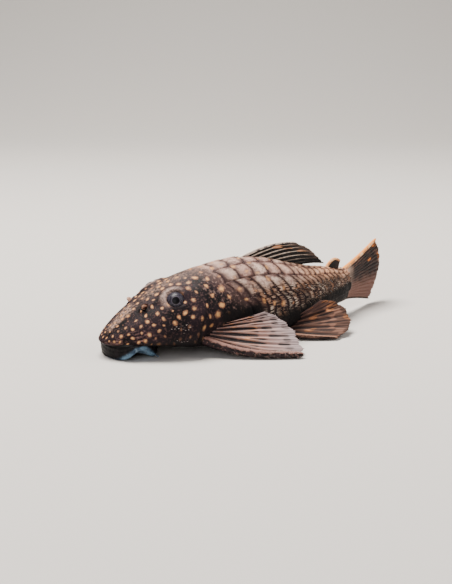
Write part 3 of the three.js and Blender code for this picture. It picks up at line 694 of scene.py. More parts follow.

# %% [markdown]
# ## The skin's colours
#
# On the real fish the grounds meet in a ragged line along the row of pale plates, dark seams run over
# them, and the spots lie on top and lose their strength on the plates. The folds of the snout are paler
# along their crests, the seams carry a painted soft shadow, the lower side is painted nearly black as
# painted shade, the gill opening and the eye socket are darkened with painted shade, and the brow is
# paler above and ahead of the eye. The layers go on in that order. A ragged line comes from shifting its
# place by noise before the step, which costs less than modelling the edge.

# %% Skin material
def skin_material():
    """The three grounds by place, then seams with a painted soft shadow, spots, painted shade, painted shade
    in the gill opening and eye socket, and a paler brow.
    """
    sh = Shader("skin", 0.6, specular=0.12)
    girth, around, plate, seams = (sh.carried(key) for key in ("girth", "around", "plate", "seam"))
    cloud, fine, grain = sh.noise(180, 4), sh.noise(1500, 3), sh.noise(4200, 2)
    broken = sh.times(seams, sh.ramp(sh.noise(260, 3), 0.34, 0.54, 0.5, 1.0))
    dark = head_ground(sh, cloud, fine)
    near_plates = sh.ramp(plate, -5.0, -1.0)
    specks = sh.times(sh.ramp(sh.noise(1000, 4), 0.54, 0.64, 0.0, 0.6), near_plates)
    dark = sh.blend(specks, dark, paint(150, 122, 112))
    # Painted highlight along the top of the head, and a pale band along the snout's ridge.
    ridges = sh.times(sh.carried("crest"), sh.ramp(fine, 0.4, 0.6, 0.15, 1.0))
    dark = sh.blend(ridges, dark, paint(168, 138, 124))
    folds = sh.times(sh.carried("wrinkle"), sh.ramp(sh.noise(420, 2), 0.4, 0.58, 0.0, 0.75))
    dark = sh.blend(folds, dark, paint(168, 126, 120))
    dark = sh.blend(sh.ramp(sh.carried("pale"), -2.5, 0.0, 0.0, 0.4), dark, paint(120, 92, 86))
    flank = flank_ground(sh, around, plate, sh.carried("tone"), cloud)
    flank = sh.blend(sh.times(sh.carried("blotch"), 0.55), flank, paint(178, 130, 98))
    rear = sh.ramp(sh.jitter(plate, cloud, 5.0), 15.5, 18.5, 0.0, 0.3)
    flank = sh.blend(rear, flank, paint(112, 82, 72))
    ground = sh.blend(sh.ramp(plate, 0.0, 2.5), dark, flank)
    limit = sh.add(sh.jitter(sh.carried("pale"), cloud, 3.6), sh.times(broken, -1.0))
    back = sh.ramp(sh.jitter(limit, fine, 1.8), -0.8, 0.9)
    pale = back_ground(sh, plate, sh.carried("tone"), cloud, grain, fine)
    # Painted highlight at the middle of the back's plates.
    pale = sh.blend(sh.times(sh.carried("blotch"), 0.5), pale, paint(236, 208, 190))
    pale = sh.blend(sh.ramp(plate, 4.5, 0.0, 0.0, 0.4), pale, paint(150, 118, 106))
    plate_edge_tone = sh.jitter(sh.jitter(sh.carried("rim"), sh.noise(520, 3), 1.0), fine, 0.7)
    pale = sh.blend(sh.ramp(plate_edge_tone, 0.55, 1.15, 0.0, 0.9), pale, paint(98, 70, 68))
    ground = sh.blend(back, ground, pale)
    # Seam lines, with a painted soft shadow to both sides.
    ground = sh.blend(sh.times(broken, sh.ramp(plate, -1.0, 0.3, 0.0, 1.0)), ground, paint(44, 26, 28))
    wobble = sh.jitter(sh.carried("spot"), fine, 1.2)
    fading = sh.times(sh.carried("strength"), sh.ramp(plate, 11.0, 5.0))
    fading = sh.times(fading, sh.ramp(back, 0.0, 1.0, 1.0, 0.7))
    spot_rim = sh.blend(cloud, paint(120, 78, 58), paint(160, 118, 96))
    spot_heart = sh.blend(cloud, paint(220, 146, 76), paint(240, 192, 132))
    colour = sh.blend(sh.times(sh.ramp(wobble, 1.25, 0.8), fading), ground, spot_rim)
    colour = sh.blend(sh.times(sh.ramp(wobble, 0.9, 0.35), fading), colour, spot_heart)
    # Painted shade, nearly black, on the lower head, the cheek, behind the pectoral fin and low on the flank.
    colour = sh.blend(sh.jitter(sh.carried("shade"), cloud, 0.3), colour, paint(10, 7, 9))
    colour = sh.blend(sh.ramp(girth, 0.2, 0.08), colour, paint(84, 72, 70))
    # Painted shade in the gill opening behind the gill cover.
    colour = sh.blend(sh.carried("gill"), colour, paint(9, 6, 8))
    # Painted shade in the eye socket, stronger below the eye than above it.
    colour = sh.blend(sh.carried("socket"), colour, paint(30, 24, 30))
    brow = sh.times(sh.carried("brow"), sh.ramp(fine, 0.35, 0.6, 0.4, 0.95))
    colour = sh.blend(brow, colour, paint(174, 146, 136))
    normal = sh.bump(sh.cells(1500), 0.3, 0.00016)
    normal = sh.bump(fine, 0.4, 0.0002, normal)
    return sh.finish(colour, normal, sh.ramp(fine, 0.3, 0.7, 0.5, 0.7))


skin_paint = skin_material()
print("nodes of the skin's shader:", len(skin_paint.node_tree.nodes))

# %% [markdown]
# ## The skin's points
#
# The skin is one closed surface from the snout to the fleshy base of the tail fin, so that no seam shows
# where the solids have their cuts between head, trunk and tail. The last rings draw in like a rounded
# wedge, on which the tail fin's rays are rooted. Three pieces with smoothed joints would be the other
# way, but a joint tends to show when light falls along it.

# %% Skin points
TAIL_MIDDLE = 9.6
skin_points = skin_point(skin_s, skin_around, skin_relief)
tail_rings = skin_points[-END_RINGS:]
tail_middle = place(skin_s[-END_RINGS:], 0.0, TAIL_MIDDLE)
slim = np.sqrt(1 - end_share**2)[:, None]
drawn_in = np.stack(np.broadcast_arrays(slim, slim, 0.75 + 0.25 * slim), -1)
tail_rings[:] = tail_middle + (tail_rings - tail_middle) * drawn_in
skin_points[..., 2] = np.maximum(skin_points[..., 2], 0.0)
snout_point = place(SNOUT, 0.0, curve(WIDEST_AT, SNOUT))
end_point = place(last_edge[len(half_girths) // 2] + TAIL_CAP, 0.0, TAIL_MIDDLE)
points, faces = tube_mesh(skin_points, snout_point, end_point)
spot_value, spot_which = nearest_spot(points / MM)
print("skin points:", len(points), "triangles:", len(faces))

# %% [markdown]
# ## Where the pale back ends and where it is in shade
#
# The pale plates begin behind the head at the spine and reach lower and lower down the flank. The cheek,
# the lower head, the place behind the pectoral fin and the lower flank carry painted shade, darker than
# the rest. These borders follow the body, not the plates, so they are curves of station and girth. A lamp
# could make the shade, but here it is painted into the skin's colour.

# %% Pale back and shade
PALE_LIMIT = [(26, 1.3), (30, 1.06), (33.5, 0.92), (37, 0.78), (40.5, 0.7), (43.2, 0.64), (47, 0.58),
              (51, 0.58), (56.3, 0.64), (62, 0.62), (68, 0.59), (80, 0.6), (90, 0.6)]
pale = np.clip((skin_w - curve(PALE_LIMIT, skin_s)) / 0.1, -4, 4)
# Painted shade: the lower head, the cheek, the place behind the pectoral fin and the lower flank are darkened
# in the colour.
low_head_shade = 0.55 * smooth(skin_w, 0.6, 0.4) * smooth(skin_s, 12, 18) * smooth(skin_s, 38, 33)
cheek_shade = smooth(skin_w, 0.42, 0.33) * smooth(skin_s, 33, 29) * smooth(skin_s, 6, 13)
axil_shade = smooth(skin_w, 0.545, 0.495) * smooth(skin_s, 32, 35.5) * smooth(skin_s, 49.5, 46)
flank_shade = smooth(skin_w, 0.47, 0.38) * smooth(skin_s, 45, 49)
shade = np.maximum(np.maximum(cheek_shade, low_head_shade), np.maximum(axil_shade, flank_shade))
# Painted highlight along the top of the head; the snout's ridge gets a pale band.
top_of_head_highlight = 0.5 * smooth(front_w, 0.86, 1.0) * smooth(front_s, 12, 18)
snout_ridge = 0.9 * smooth(front_w, 0.87, 0.96) * smooth(front_s, 3.5, 5.5) * smooth(front_s, 14, 10)
print("share of the skin that is pale:", round(float((pale > 0).mean()), 2))

# %% [markdown]
# ## The skin
#
# Now the skin is made and given what its colours need: the girth, the count of plates, the seams, the
# spots, and how near each point is to an eye or a fold. A value for each point costs little, moves with
# the mesh and needs no picture. The skin takes the place of the solids of head, trunk and tail.

# %% Skin
def per_point(grid, start=0.0, end=0.0):
    """A grid of values as one list, filled up with zeros behind the front, with the values of the two closing
    points at its end."""
    grid = np.asarray(grid, float)
    rest = np.zeros((len(skin_s) - len(grid), grid.shape[1]))
    return np.concatenate([grid.ravel(), rest.ravel(), [start, end]])


def behind_front(grid):
    """The same, for a grid that starts at the first plate."""
    return per_point(np.concatenate([np.zeros(front_s.shape), np.broadcast_to(grid, plate_s.shape)]))


skin = add_mesh("skin", points, faces, skin_paint, {
    "girth": per_point(skin_w, 0.4, 0.5),
    "around": per_point(skin_around, 0.4, 0.5),
    "plate": per_point(skin_plate, -15.0, COLUMNS),
    "seam": per_point(np.concatenate([front_seam, plate_seam])),
    "pale": per_point(pale, -4.0, 0.0),
    "tone": behind_front(plate_tone),
    "blotch": behind_front(plate_blotch),
    "rim": behind_front(plate_rim),
    "spot": spot_value,
    "strength": spot_strength[spot_which],
    "shade": per_point(shade),
    # painted highlight on the top of the head, and the pale band of the snout's ridge
    "crest": per_point(np.maximum(top_of_head_highlight, snout_ridge)),
    "wrinkle": per_point(smooth(wrinkle_wave, 0.2, 0.9) * wrinkle_at),
    # painted shade in the gill opening
    "gill": per_point(0.85 * bump(past_gill - 0.9, 0.7) * low_gill),
    "brow": per_point(bump(np.maximum(eye_distance - 3.4, 0), 0.8) * ahead_of_eye),
    # painted shade in the eye socket, stronger below the eye
    "socket": per_point(smooth(eye_distance, 3.2, 2.8) * mix(1.0, 0.25, above_eye)),
})
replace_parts(skin, "head", "trunk", "tail")
carried = [layer.name for layer in skin.data.attributes if layer.data_type == "FLOAT"]
print("values carried by each point of the skin:", len(carried))

# %% [markdown]
# ## Thousands of cones at once
#
# A spine of a plate is a tiny three-sided cone with its root in the skin. There are thousands, so they
# aren't objects but one array: the roots, the directions, the lengths and the radii go in, and all points
# and triangles come out. Blender could strew copies of one cone with a node tree, but then the rule for
# the plates' edges would have to be written a second time, in nodes.

# %% Cones
def cones(root, direction, length, radius, sides=3):
    """Points and triangles of n cones at once: a ring of sides round each root, and a tip along direction."""
    direction = direction / np.linalg.norm(direction, axis=-1, keepdims=True)
    helper = np.where(np.abs(direction[:, 2:]) < 0.8, [[0.0, 0.0, 1.0]], [[1.0, 0.0, 0.0]])
    u = np.cross(direction, helper)
    u /= np.linalg.norm(u, axis=-1, keepdims=True)
    v = np.cross(direction, u)
    angle = 2 * np.pi * np.arange(sides) / sides
    ring = root[:, None] + radius[:, None, None] * (
        np.cos(angle)[None, :, None] * u[:, None] + np.sin(angle)[None, :, None] * v[:, None])
    tip = root + direction * length[:, None]
    points = np.concatenate([ring, tip[:, None]], 1)
    first = np.arange(len(root))[:, None] * (sides + 1)
    k = np.arange(sides)
    top = np.broadcast_to(first + sides, (len(root), sides))
    faces = np.stack([first + k, first + (k + 1) % sides, top], -1)
    return points.reshape(-1, 3), faces.reshape(-1, 3)


one_cone = cones(np.zeros((1, 3)), np.array([[0.0, 0.0, 1.0]]), np.ones(1), np.ones(1))
print("a spine has", len(one_cone[0]), "points and", len(one_cone[1]), "triangles")

# %% [markdown]
# ## The spines of the plates
#
# Every plate bears rows of tiny spines that point back, longest along its rear edge. They catch the light
# as fine pale dashes and give the flanks their rasp-like look. They are set in three rows across each
# plate, shifted a little at random, sparser and shorter on the back and just behind the head, where the
# real plates are smoother. A noise pattern in the shader could hint at them, but the outline of the flank
# would stay bare.

# %% Roots of the plate spines
SPINE_ROWS = [(0.45, 0.016, 0.35, 0.07, 0.4),
              (0.7, 0.016, 0.4, 0.07, 0.55),
              (0.93, 0.0135, 0.5, 0.1, 1.0)]
SPINE_LIFT, SPINE_ROOT = 0.38, 0.04


def plate_spines():
    """Roots in rows across each plate, shifted a little at random. A row is given by its place along the
    plate, the spacing round the body, the length, the radius and the brightness. Returns the points, the
    triangles, the brightness, the girth and the place on the body of each spine."""
    places = []
    for place_in_plate, spacing, length, radius, light in SPINE_ROWS:
        half = np.arange(0.36, 0.985, spacing)
        c, a = np.meshgrid(np.arange(COLUMNS), np.concatenate([half, 2 - half]), indexing="ij")
        given = np.array([place_in_plate, length, radius, light])[:, None] * np.ones(c.size)
        places.append(np.concatenate([[c.ravel(), a.ravel()], given]))
    c, a, sh, length, radius, light = np.concatenate(places, 1)
    a = a + rng.normal(0, 0.0022, c.size)
    sh = np.clip(sh + rng.normal(0, 0.02, c.size), 0.1, 0.975)
    w = np.where(a <= 1, a, 2 - a)
    s = mix(plate_edge(c, w), plate_edge(c + 1, w), sh)
    rise = np.interp(along_plate(c, w, sh)[0], [0, 0.17, 0.6, 0.94], [0, 0.4, 0.8, 1.0])
    height = PLATE_HEIGHT * plate_flatness(w) * rise
    root = skin_point(s, a, height * 0.85 - SPINE_ROOT)
    back = skin_point(s + 0.5, a, height) - skin_point(s, a, height)
    back /= np.linalg.norm(back, axis=-1, keepdims=True)
    on_back = smooth(w, 0.58, 0.68)
    growth = mix(0.35, 1, smooth(c + sh, 0, 6)) * mix(1, 0.35, on_back)
    length = MM * length * growth * rng.uniform(0.6, 1.15, c.size)
    keep = rng.random(c.size) < mix(0.25, 1.0, smooth(c + sh, 0, 4)) * mix(1, 0.4, on_back)
    direction = back + SPINE_LIFT * body_normal(s, a)
    points, faces = cones(root[keep], direction[keep], length[keep], MM * radius[keep])
    bright = rng.random(keep.sum()) * light[keep]
    return points, faces, bright, w[keep], np.stack([a[keep] / 2, s[keep] / 95], -1)


points, faces, bright, at_girth, root_uv = plate_spines()
print("plate spines:", len(root_uv))

# %% [markdown]
# ## Colours and chart of the spines
#
# A real spine is clear bone with a pale tip, and it looks ochre, cream or white by how the light meets
# it. Each spine has one brightness for its whole length, drawn at random, and the shader turns it into a
# colour: ochre and cream for the bone, white as a painted glint on the brightest, and painted shade on
# those low on the flank. The spines also get a flat chart, with a small patch for each one at its place
# on the body, so that their colours can be baked later. An automatic unwrap of thousands of cones would
# be slow, and its patches would lie in no order that can be read.

# %% Plate spines
def spine_material():
    """Colour by a spine's drawn brightness, partly its tone and partly a painted glint: ochre to white on the
    flank, pinkish on the back, and painted shade low on the flank.
    """
    sh = Shader("spines", 0.45, specular=0.25)
    bright, girth = sh.carried("bright"), sh.carried("girth")
    ochre = sh.blend(bright, paint(34, 24, 25), paint(220, 188, 158))
    # Painted glint: the brightest spines turn white.
    ochre = sh.blend(sh.ramp(bright, 0.85, 0.9), ochre, paint(226, 220, 214))
    high = sh.blend(bright, paint(140, 108, 96), paint(208, 178, 164))
    colour = sh.blend(sh.ramp(girth, 0.58, 0.7), ochre, high)
    # Painted shade: spines low on the flank are darkened.
    return sh.finish(sh.blend(sh.ramp(girth, 0.44, 0.36), colour, paint(26, 20, 20)))


CONE_POINTS, PATCH = 4, 0.003
spines = add_mesh("plate_spines", points, faces, spine_material(), {
    "bright": np.repeat(bright, CONE_POINTS), "girth": np.repeat(at_girth, CONE_POINTS)})
bake = spines.data.uv_layers.new(name="OFBake")
patch = PATCH * np.array([[0, 0], [1, 0], [0, 1], [0.5, 0.5]])
patch_uv = (root_uv[:, None] + patch).reshape(-1, 2)
bake.data.foreach_set("uv", patch_uv[faces.ravel()].astype(np.float32).ravel())
print("triangles of the spines:", len(faces))

# %% [markdown]
# ## Eyes
#
# The eye is a dark ball, half sunk under the brow, with a dull grey ring of iris round a small pupil. It
# is a closed ball of rings about the line of sight. Blender's own sphere would do for the shape, but its
# poles point up, and here they point where the fish looks, so that the ring and the pupil can be drawn by
# angle alone. The gloss is kept low, because the eye hardly shines in the photograph.

# %% Eyes
def eye_material():
    """Pupil, thin ring, dark iris and rim, each by the angle from the line of sight."""
    sh = Shader("eye", 0.38, specular=0.16, coat=0.04)
    polar, speckle = sh.carried("polar"), sh.noise(2600, 3)
    iris = sh.blend(sh.ramp(speckle, 0.4, 0.65), paint(27, 25, 34), paint(64, 60, 72))
    colour = sh.blend(sh.times(sh.ramp(polar, 0.33, 0.27), 0.8), iris, paint(88, 82, 92))
    colour = sh.blend(sh.ramp(polar, 0.28, 0.23), colour, paint(6, 4, 9))
    return sh.finish(sh.blend(sh.ramp(polar, 0.7, 0.95), colour, paint(34, 26, 32)))


LOOK = (-0.36, 0.84, 0.38)


def eye_ball(side, material):
    """Each ring is a circle at a polar angle from the line of sight, and polar counts that angle in right
    angles."""
    look = np.array(LOOK) * [1, side, 1]
    look /= np.linalg.norm(look)
    up = np.array([0.0, 0.0, 1.0]) - look * look[2]
    up /= np.linalg.norm(up)
    across = np.cross(up, look) * side
    theta = np.linspace(0, np.pi, 50)[1:-1, None]
    phi = np.linspace(0, 2 * np.pi, 64, endpoint=False)[None]
    ring = (np.cos(theta)[..., None] * look + (np.sin(theta) * np.cos(phi))[..., None] * up
            + (np.sin(theta) * np.sin(phi))[..., None] * across)
    centre, radius = eye_centre[side], EYE_R * MM
    points, faces = tube_mesh(centre + radius * ring, centre + radius * look, centre - radius * look)
    corner = points[faces]
    outward = np.einsum("ij,ij->i", np.cross(corner[:, 1] - corner[:, 0], corner[:, 2] - corner[:, 0]),
                        corner.mean(1) - centre)
    faces = faces if outward.sum() > 0 else faces[:, ::-1]
    polar = np.arccos(np.clip((points - centre) @ look / radius, -1, 1)) / (np.pi / 2)
    name = "eye_" + ("left" if side < 0 else "right")
    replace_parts(add_mesh(name + "_ball", points, faces, material, {"polar": polar}), name)


eye_paint = eye_material()
for side in (-1, 1):
    eye_ball(side, eye_paint)
print("eyes:", 2 * EYE_R, "mm across")

# %% [markdown]
# ## Flaps of the nostrils
#
# Each nostril has two openings with a flap of skin standing between them. The pit is part of the skin;
# the flap is a small leaf set across it. It could be pulled out of the skin as well, but a thin leaf that
# stands upright needs both its faces, and a closed piece of its own has them.

# %% Nostril flaps
def flap_material():
    """Dark brown and tan, mixed by noise."""
    sh = Shader("flap", 0.5)
    return sh.finish(sh.blend(sh.ramp(sh.noise(900, 2), 0.4, 0.6), paint(66, 38, 32), paint(190, 144, 122)))


FLAP_HEIGHT, FLAP_LEAN, FLAP_HALF_WIDTH, FLAP_HALF_THICKNESS = 1.8, 0.5, 0.85, 0.3
FLAP_FACING = (-0.47, 0.85, 0.2)


def nostril_flap(side, material):
    """A leaf that faces outwards and ahead: rings of an ellipse that narrows as it rises and leans back."""
    around = NOSTRIL_W if side < 0 else 2 - NOSTRIL_W
    root = skin_point(NOSTRIL_S, around, -0.5)
    normal = body_normal(NOSTRIL_S, around)
    across = np.cross(normal, np.array(FLAP_FACING) * [1, side, 1])
    across /= np.linalg.norm(across)
    along = np.cross(across, normal)
    t = np.linspace(0, 1, 12)[:, None]
    phi = np.linspace(0, 2 * np.pi, 20, endpoint=False)[None]
    wide = FLAP_HALF_WIDTH * np.sqrt(np.clip(1 - (1.9 * t - 0.85) ** 2 / 1.15, 0.01, 1))
    thick = FLAP_HALF_THICKNESS * (1 - 0.5 * t)
    ring = (root + MM * (FLAP_HEIGHT * t[..., None] * normal + FLAP_LEAN * t[..., None] ** 2 * along
                         + (wide * np.sin(phi))[..., None] * across
                         + (thick * np.cos(phi))[..., None] * along))
    tip = root + MM * ((FLAP_HEIGHT + 0.1) * normal + (FLAP_LEAN + 0.05) * along)
    points, faces = tube_mesh(ring, root, tip)
    add_mesh("nostril_flap_" + ("left" if side < 0 else "right"), points, faces, material)


flap_paint = flap_material()
for side in (-1, 1):
    nostril_flap(side, flap_paint)
print("nostril flaps:", FLAP_HEIGHT, "mm high")

# %% [markdown]
# ## Cheek spines
#
# Behind the cheek a tuft of hooked spines can be spread to wedge the fish in a crack. At rest they lie
# back and show only as fine glints. Each is a short tapered tube along a curve that starts outwards and
# bends towards the tail. Straight cones would be lighter, but the bend is what makes a hook, and there
# are only a few dozen.

# %% Cheek spines
def tube(path, radii, sides=8):
    """Rings of a tube along a path (n, 3): each is a circle square to the path's own direction."""
    tangent = np.gradient(path, axis=0)
    tangent /= np.linalg.norm(tangent, axis=1, keepdims=True)
    helper = np.array([0.0, 0.0, 1.0]) if abs(tangent[0, 2]) < 0.9 else np.array([1.0, 0.0, 0.0])
    u = np.cross(tangent, helper)
    u /= np.linalg.norm(u, axis=1, keepdims=True)
    v = np.cross(u, tangent)
    angle = 2 * np.pi * np.arange(sides) / sides
    return path[:, None] + np.asarray(radii)[:, None, None] * (
        np.cos(angle)[None, :, None] * u[:, None] + np.sin(angle)[None, :, None] * v[:, None])


TUFT_ROWS, TUFT_LENGTH = 6, 9
TUFT_S, TUFT_W = (18.0, 23.4), (0.36, 0.5)
HOOK_LENGTH, HOOK_RADIUS, HOOK_TURN = (0.55, 1.1), 0.1, (-0.35, 0.05)
HOOK_BACK, HOOK_OUT, HOOK_BEND = 0.7, 0.8, 0.5


def cheek_tuft(side, material):
    """Short hooked tubes in uneven rows over a small patch of the cheek; each path is a parabola from the
    skin outwards and back, turned a little up or down."""
    draw = np.random.default_rng(60 + side)
    parts = []
    t = np.linspace(0, 1, 9)[:, None]
    for i in range(TUFT_ROWS * TUFT_LENGTH):
        line, number = divmod(i, TUFT_LENGTH)
        s = mix(*TUFT_S, (number + draw.uniform(0, 0.9)) / TUFT_LENGTH)
        w = mix(*TUFT_W, (line + draw.uniform(0, 0.9)) / TUFT_ROWS)
        around = w if side < 0 else 2 - w
        root, out = skin_point(s, around, 0.3), body_normal(s, around)
        back = np.array([1.0, 0.0, draw.uniform(*HOOK_TURN)])
        length = MM * draw.uniform(*HOOK_LENGTH)
        path = root + length * (HOOK_BACK * t * back + (HOOK_OUT * t - HOOK_BEND * t**2) * out)
        radii = HOOK_RADIUS * MM * (1 - 0.8 * t[:, 0])
        parts.append(tube_mesh(tube(path, radii), path[0], path[-1]))
    points, faces = join(parts)
    add_mesh("cheek_spines_" + ("left" if side < 0 else "right"), points, faces, material)


def cheek_material():
    """Dark and pale horn, mixed by noise."""
    sh = Shader("cheek_spines", 0.4)
    return sh.finish(sh.blend(sh.ramp(sh.noise(900, 2), 0.42, 0.6), paint(44, 35, 37), paint(172, 158, 152)))


cheek_paint = cheek_material()
for side in (-1, 1):
    cheek_tuft(side, cheek_paint)
print("cheek spines a side:", TUFT_ROWS * TUFT_LENGTH)

# %% [markdown]
# ## The sucker mouth
#
# The mouth is a disc of soft lips under the snout, covered with small knobs and hollow in the middle.
# With it the fish holds on, and grazes. Its left edge is lifted in an arch. The disc is one profile of
# rings, turned round an oval and lifted where the edge arches. It could be sculpted by hand, but a
# profile of thirteen points can be read and changed.

# %% Mouth surface
MOUTH_S, MOUTH_ACROSS, MOUTH_ALONG, MOUTH_HEIGHT = 10.8, 9.8, 7.7, 4.8
ARCH, ARCH_ANGLE, ARCH_WIDTH = 3.0, 4.66, 0.42
MOUTH_PROFILE = [(0, 0.6, 1.0), (1, 0.84, 1.0), (2, 0.95, 0.95), (3, 1.0, 0.74), (4, 1.0, 0.38),
                 (5, 0.97, 0.07), (6, 0.92, 0.0), (7, 0.82, 0.02), (8, 0.72, 0.1), (9, 0.6, 0.16),
                 (10, 0.47, 0.18), (11, 0.38, 0.28), (12, 0.3, 0.5)]
KNOB_HEIGHT, KNOBS_ROUND, KNOBS_ACROSS = 0.13, 60, 9


def mouth_mesh():
    """The profile gives a share of the disc's radius and height; the oval gives the radius at each angle."""
    k = np.linspace(0, 12, 90)[:, None]
    angle = np.linspace(0, 2 * np.pi, 180, endpoint=False)[None]
    r = curve([(p[0], p[1]) for p in MOUTH_PROFILE], k)
    h = np.maximum(curve([(p[0], p[2]) for p in MOUTH_PROFILE], k), 0)
    lobes = 0.035 * np.cos(9 * angle) * bump(k - 9, 1.5) + 0.008 * np.cos(37 * angle) * bump(k - 6.5, 0.8)
    lobes = lobes + 0.01 * np.sin(9 * k + 2 * np.sin(3 * angle)) * bump(k - 3, 1.3)
    narrow = mix(1, 0.55, smooth(k, 9.0, 11.0))
    arch = ARCH * bump(angle - ARCH_ANGLE, ARCH_WIDTH) * smooth(r, 0.5, 0.95)
    knobs = KNOB_HEIGHT * np.sin(angle * KNOBS_ROUND) * np.sin(k * KNOBS_ACROSS)
    knobs = knobs * smooth(k, 5.4, 6.4) * smooth(k, 10.5, 9.5)
    z = np.maximum(mix(arch, MOUTH_HEIGHT, h) + np.abs(knobs), 0)
    rings = place(MOUTH_S + MOUTH_ALONG * (r + lobes) * narrow * np.cos(angle),
                  MOUTH_ACROSS * (r + lobes) * np.sin(angle), z)
    top, roof = place(MOUTH_S, 0, MOUTH_HEIGHT), place(MOUTH_S, 0, MOUTH_HEIGHT * 0.55)
    points, faces = tube_mesh(rings[:, ::-1], top, roof)
    at_arch = bump(angle - ARCH_ANGLE, 0.7)
    lip = smooth(k, 4.4 - 2.4 * at_arch, 6.4 - 2.4 * at_arch) * smooth(k, 9.0, 7.2)
    return points, faces, np.concatenate([lip[:, ::-1].ravel(), [0.0, 1.0]])


points, faces, lip = mouth_mesh()
print("mouth:", 2 * MOUTH_ACROSS, "mm wide, its left edge lifted by", ARCH, "mm")

# %% [markdown]
# ## Lips
#
# From above the rim is dark skin, painted near black as painted shade under the snout. Where the edge is
# lifted, and all over the underside, the lips are blue grey with paler grains. A value carried by each
# point says how much of a lip it is, so that the border follows the arch. Two materials on one disc would
# meet in a hard line. The knobs are in the mesh, and a relief of tiny cells lies on them.

# %% Lips
def mouth_material():
    """Dark skin with painted shade above and blue grey where the mesh says lip, with a border shifted by
    noise.
    """
    sh = Shader("lips", 0.55, specular=0.12)
    cloud, fine = sh.noise(260, 3), sh.noise(900, 3)
    blue = sh.blend(sh.ramp(cloud, 0.35, 0.65), paint(34, 46, 66), paint(98, 126, 148))
    blue = sh.blend(sh.ramp(fine, 0.5, 0.7, 0.0, 0.4), blue, paint(140, 162, 174))
    # Dark skin, painted near black as painted shade under the snout.
    dark_skin_and_shade = sh.blend(sh.ramp(fine, 0.45, 0.65), paint(6, 4, 6), paint(22, 16, 19))
    colour = sh.blend(sh.ramp(sh.jitter(sh.carried("lip"), cloud, 0.5), 0.2, 0.9), dark_skin_and_shade, blue)
    return sh.finish(colour, sh.bump(sh.cells(1300), 0.4, 0.0002))


lip_paint = mouth_material()
mouth = add_mesh("lips", points, faces, lip_paint, {"lip": lip})
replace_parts(mouth, "sucker_mouth")
print("triangles of the lips:", len(faces))

# %% [markdown]
# ## Feelers
#
# At each corner of the mouth the fish has a short soft feeler, called a barbel, with which it tastes its
# food. They are tapered tubes that bend back, coloured like the lips. A finer shape could be modelled,
# but they are two millimetres long, and the tube that made the cheek's hooks does for them too.

# %% Barbels
BARBEL_RADIUS, BARBEL_ROOT = 0.34, (2.6, 0.86, 1.9)
BARBEL_REACH, BARBEL_BEND = (1.5, 1.7, -0.2), (0.6, -0.3, -1.0)


def barbel(side):
    """The short feeler at each corner of the mouth, tapered and bent back."""
    t = np.linspace(0, 1, 14)[:, None]
    behind, share, height = BARBEL_ROOT
    root = place(MOUTH_S + behind, side * MOUTH_ACROSS * share, height)
    mirror = np.array([1, side, 1])
    path = root + MM * (t * (np.array(BARBEL_REACH) * mirror) + t**2 * (np.array(BARBEL_BEND) * mirror))
    radii = BARBEL_RADIUS * MM * (1 - 0.6 * t[:, 0])
    points, faces = tube_mesh(tube(path, radii, 10), path[0], path[-1])
    add_mesh("barbel_" + ("left" if side < 0 else "right"), points, faces, lip_paint,
             {"lip": np.ones(len(points))})


for side in (-1, 1):
    barbel(side)
print("barbels:", 2 * BARBEL_RADIUS, "mm thick at the root")

# %% [markdown]
# ## Rays of the fins
#
# A fin is a web of skin held out by rays, and its first ray is a stout spine. The table gives each ray by
# its root, its tip and the bow of its middle, as station, side and height in millimetres. The side fins
# are measured from the photograph. The rays of the dorsal fin and of the tail fin follow a rule, because
# their roots stand in one row and their tips on one curve. A lattice bent by hand would be quicker to
# try, but harder to mirror and to repeat.

# %% Rays of the fins
PECTORAL = [
    ((26.4, -11.2, 5.3), (50.9, -29.1, 1.1), (-1.5, -0.8, -1.4)),
    ((27.6, -11.2, 5.7), (52.6, -27.0, 2.0), (-0.6, -0.9, -0.8)),
    ((28.5, -11.2, 6.1), (53.3, -24.1, 3.7), (-0.2, -0.9, -0.3)),
    ((29.4, -11.2, 6.5), (53.3, -20.8, 5.6), (0, -1.0, 0.1)),
    ((30.3, -11.1, 6.9), (52.5, -17.9, 7.7), (0, -1.2, 0.5)),
    ((31.2, -11.0, 7.3), (50.2, -16.1, 9.8), (0, -1.2, 0.4)),
    ((32.1, -10.9, 7.7), (46.8, -15.3, 11.2), (0, -1.1, 0.2)),
]
PELVIC = [
    ((53.4, -6.8, 1.9), (67.8, -20.1, 0.8), (-0.6, -0.6, 0)),
    ((54.6, -6.8, 2.3), (72.6, -19.2, 2.0), (0, -0.5, 0.2)),
    ((55.6, -6.8, 2.7), (76.2, -16.2, 3.8), (0, -0.6, 0.3)),
    ((56.6, -6.7, 3.1), (77.4, -12.6, 6.6), (0, -0.7, 0.3)),
    ((57.6, -6.5, 3.5), (75.3, -10.4, 9.1), (0, -0.8, 0.2)),
    ((58.6, -6.3, 3.9), (69.8, -9.9, 10.2), (0, -0.8, 0.1)),
]
DORSAL_TIPS = [(68.4, 26.2), (71.0, 25.2), (73.4, 24.0), (75.4, 22.6), (77.1, 21.1), (78.5, 19.8),
               (79.6, 18.8), (80.2, 18.2)]
DORSAL_ROOTS = (45.6, 66.5)
DORSAL = []
for k, (s, z) in enumerate(DORSAL_TIPS):
    towards_tail = k / (len(DORSAL_TIPS) - 1)
    base = mix(*DORSAL_ROOTS, towards_tail)
    rest = 1 - towards_tail
    root = (base, 0, float(curve(BACK, base)) - 0.9)
    DORSAL.append((root, (s, 0.9 * rest, z), (0, -0.3, 1.25 * rest + 0.5)))
ADIPOSE = [
    ((80.4, 0, 16.0), (88.3, 0, 17.7), (0, 0, 1.9)),
    ((82.6, 0, 15.2), (87.4, 0, 14.6), (0, 0, 0.3)),
]
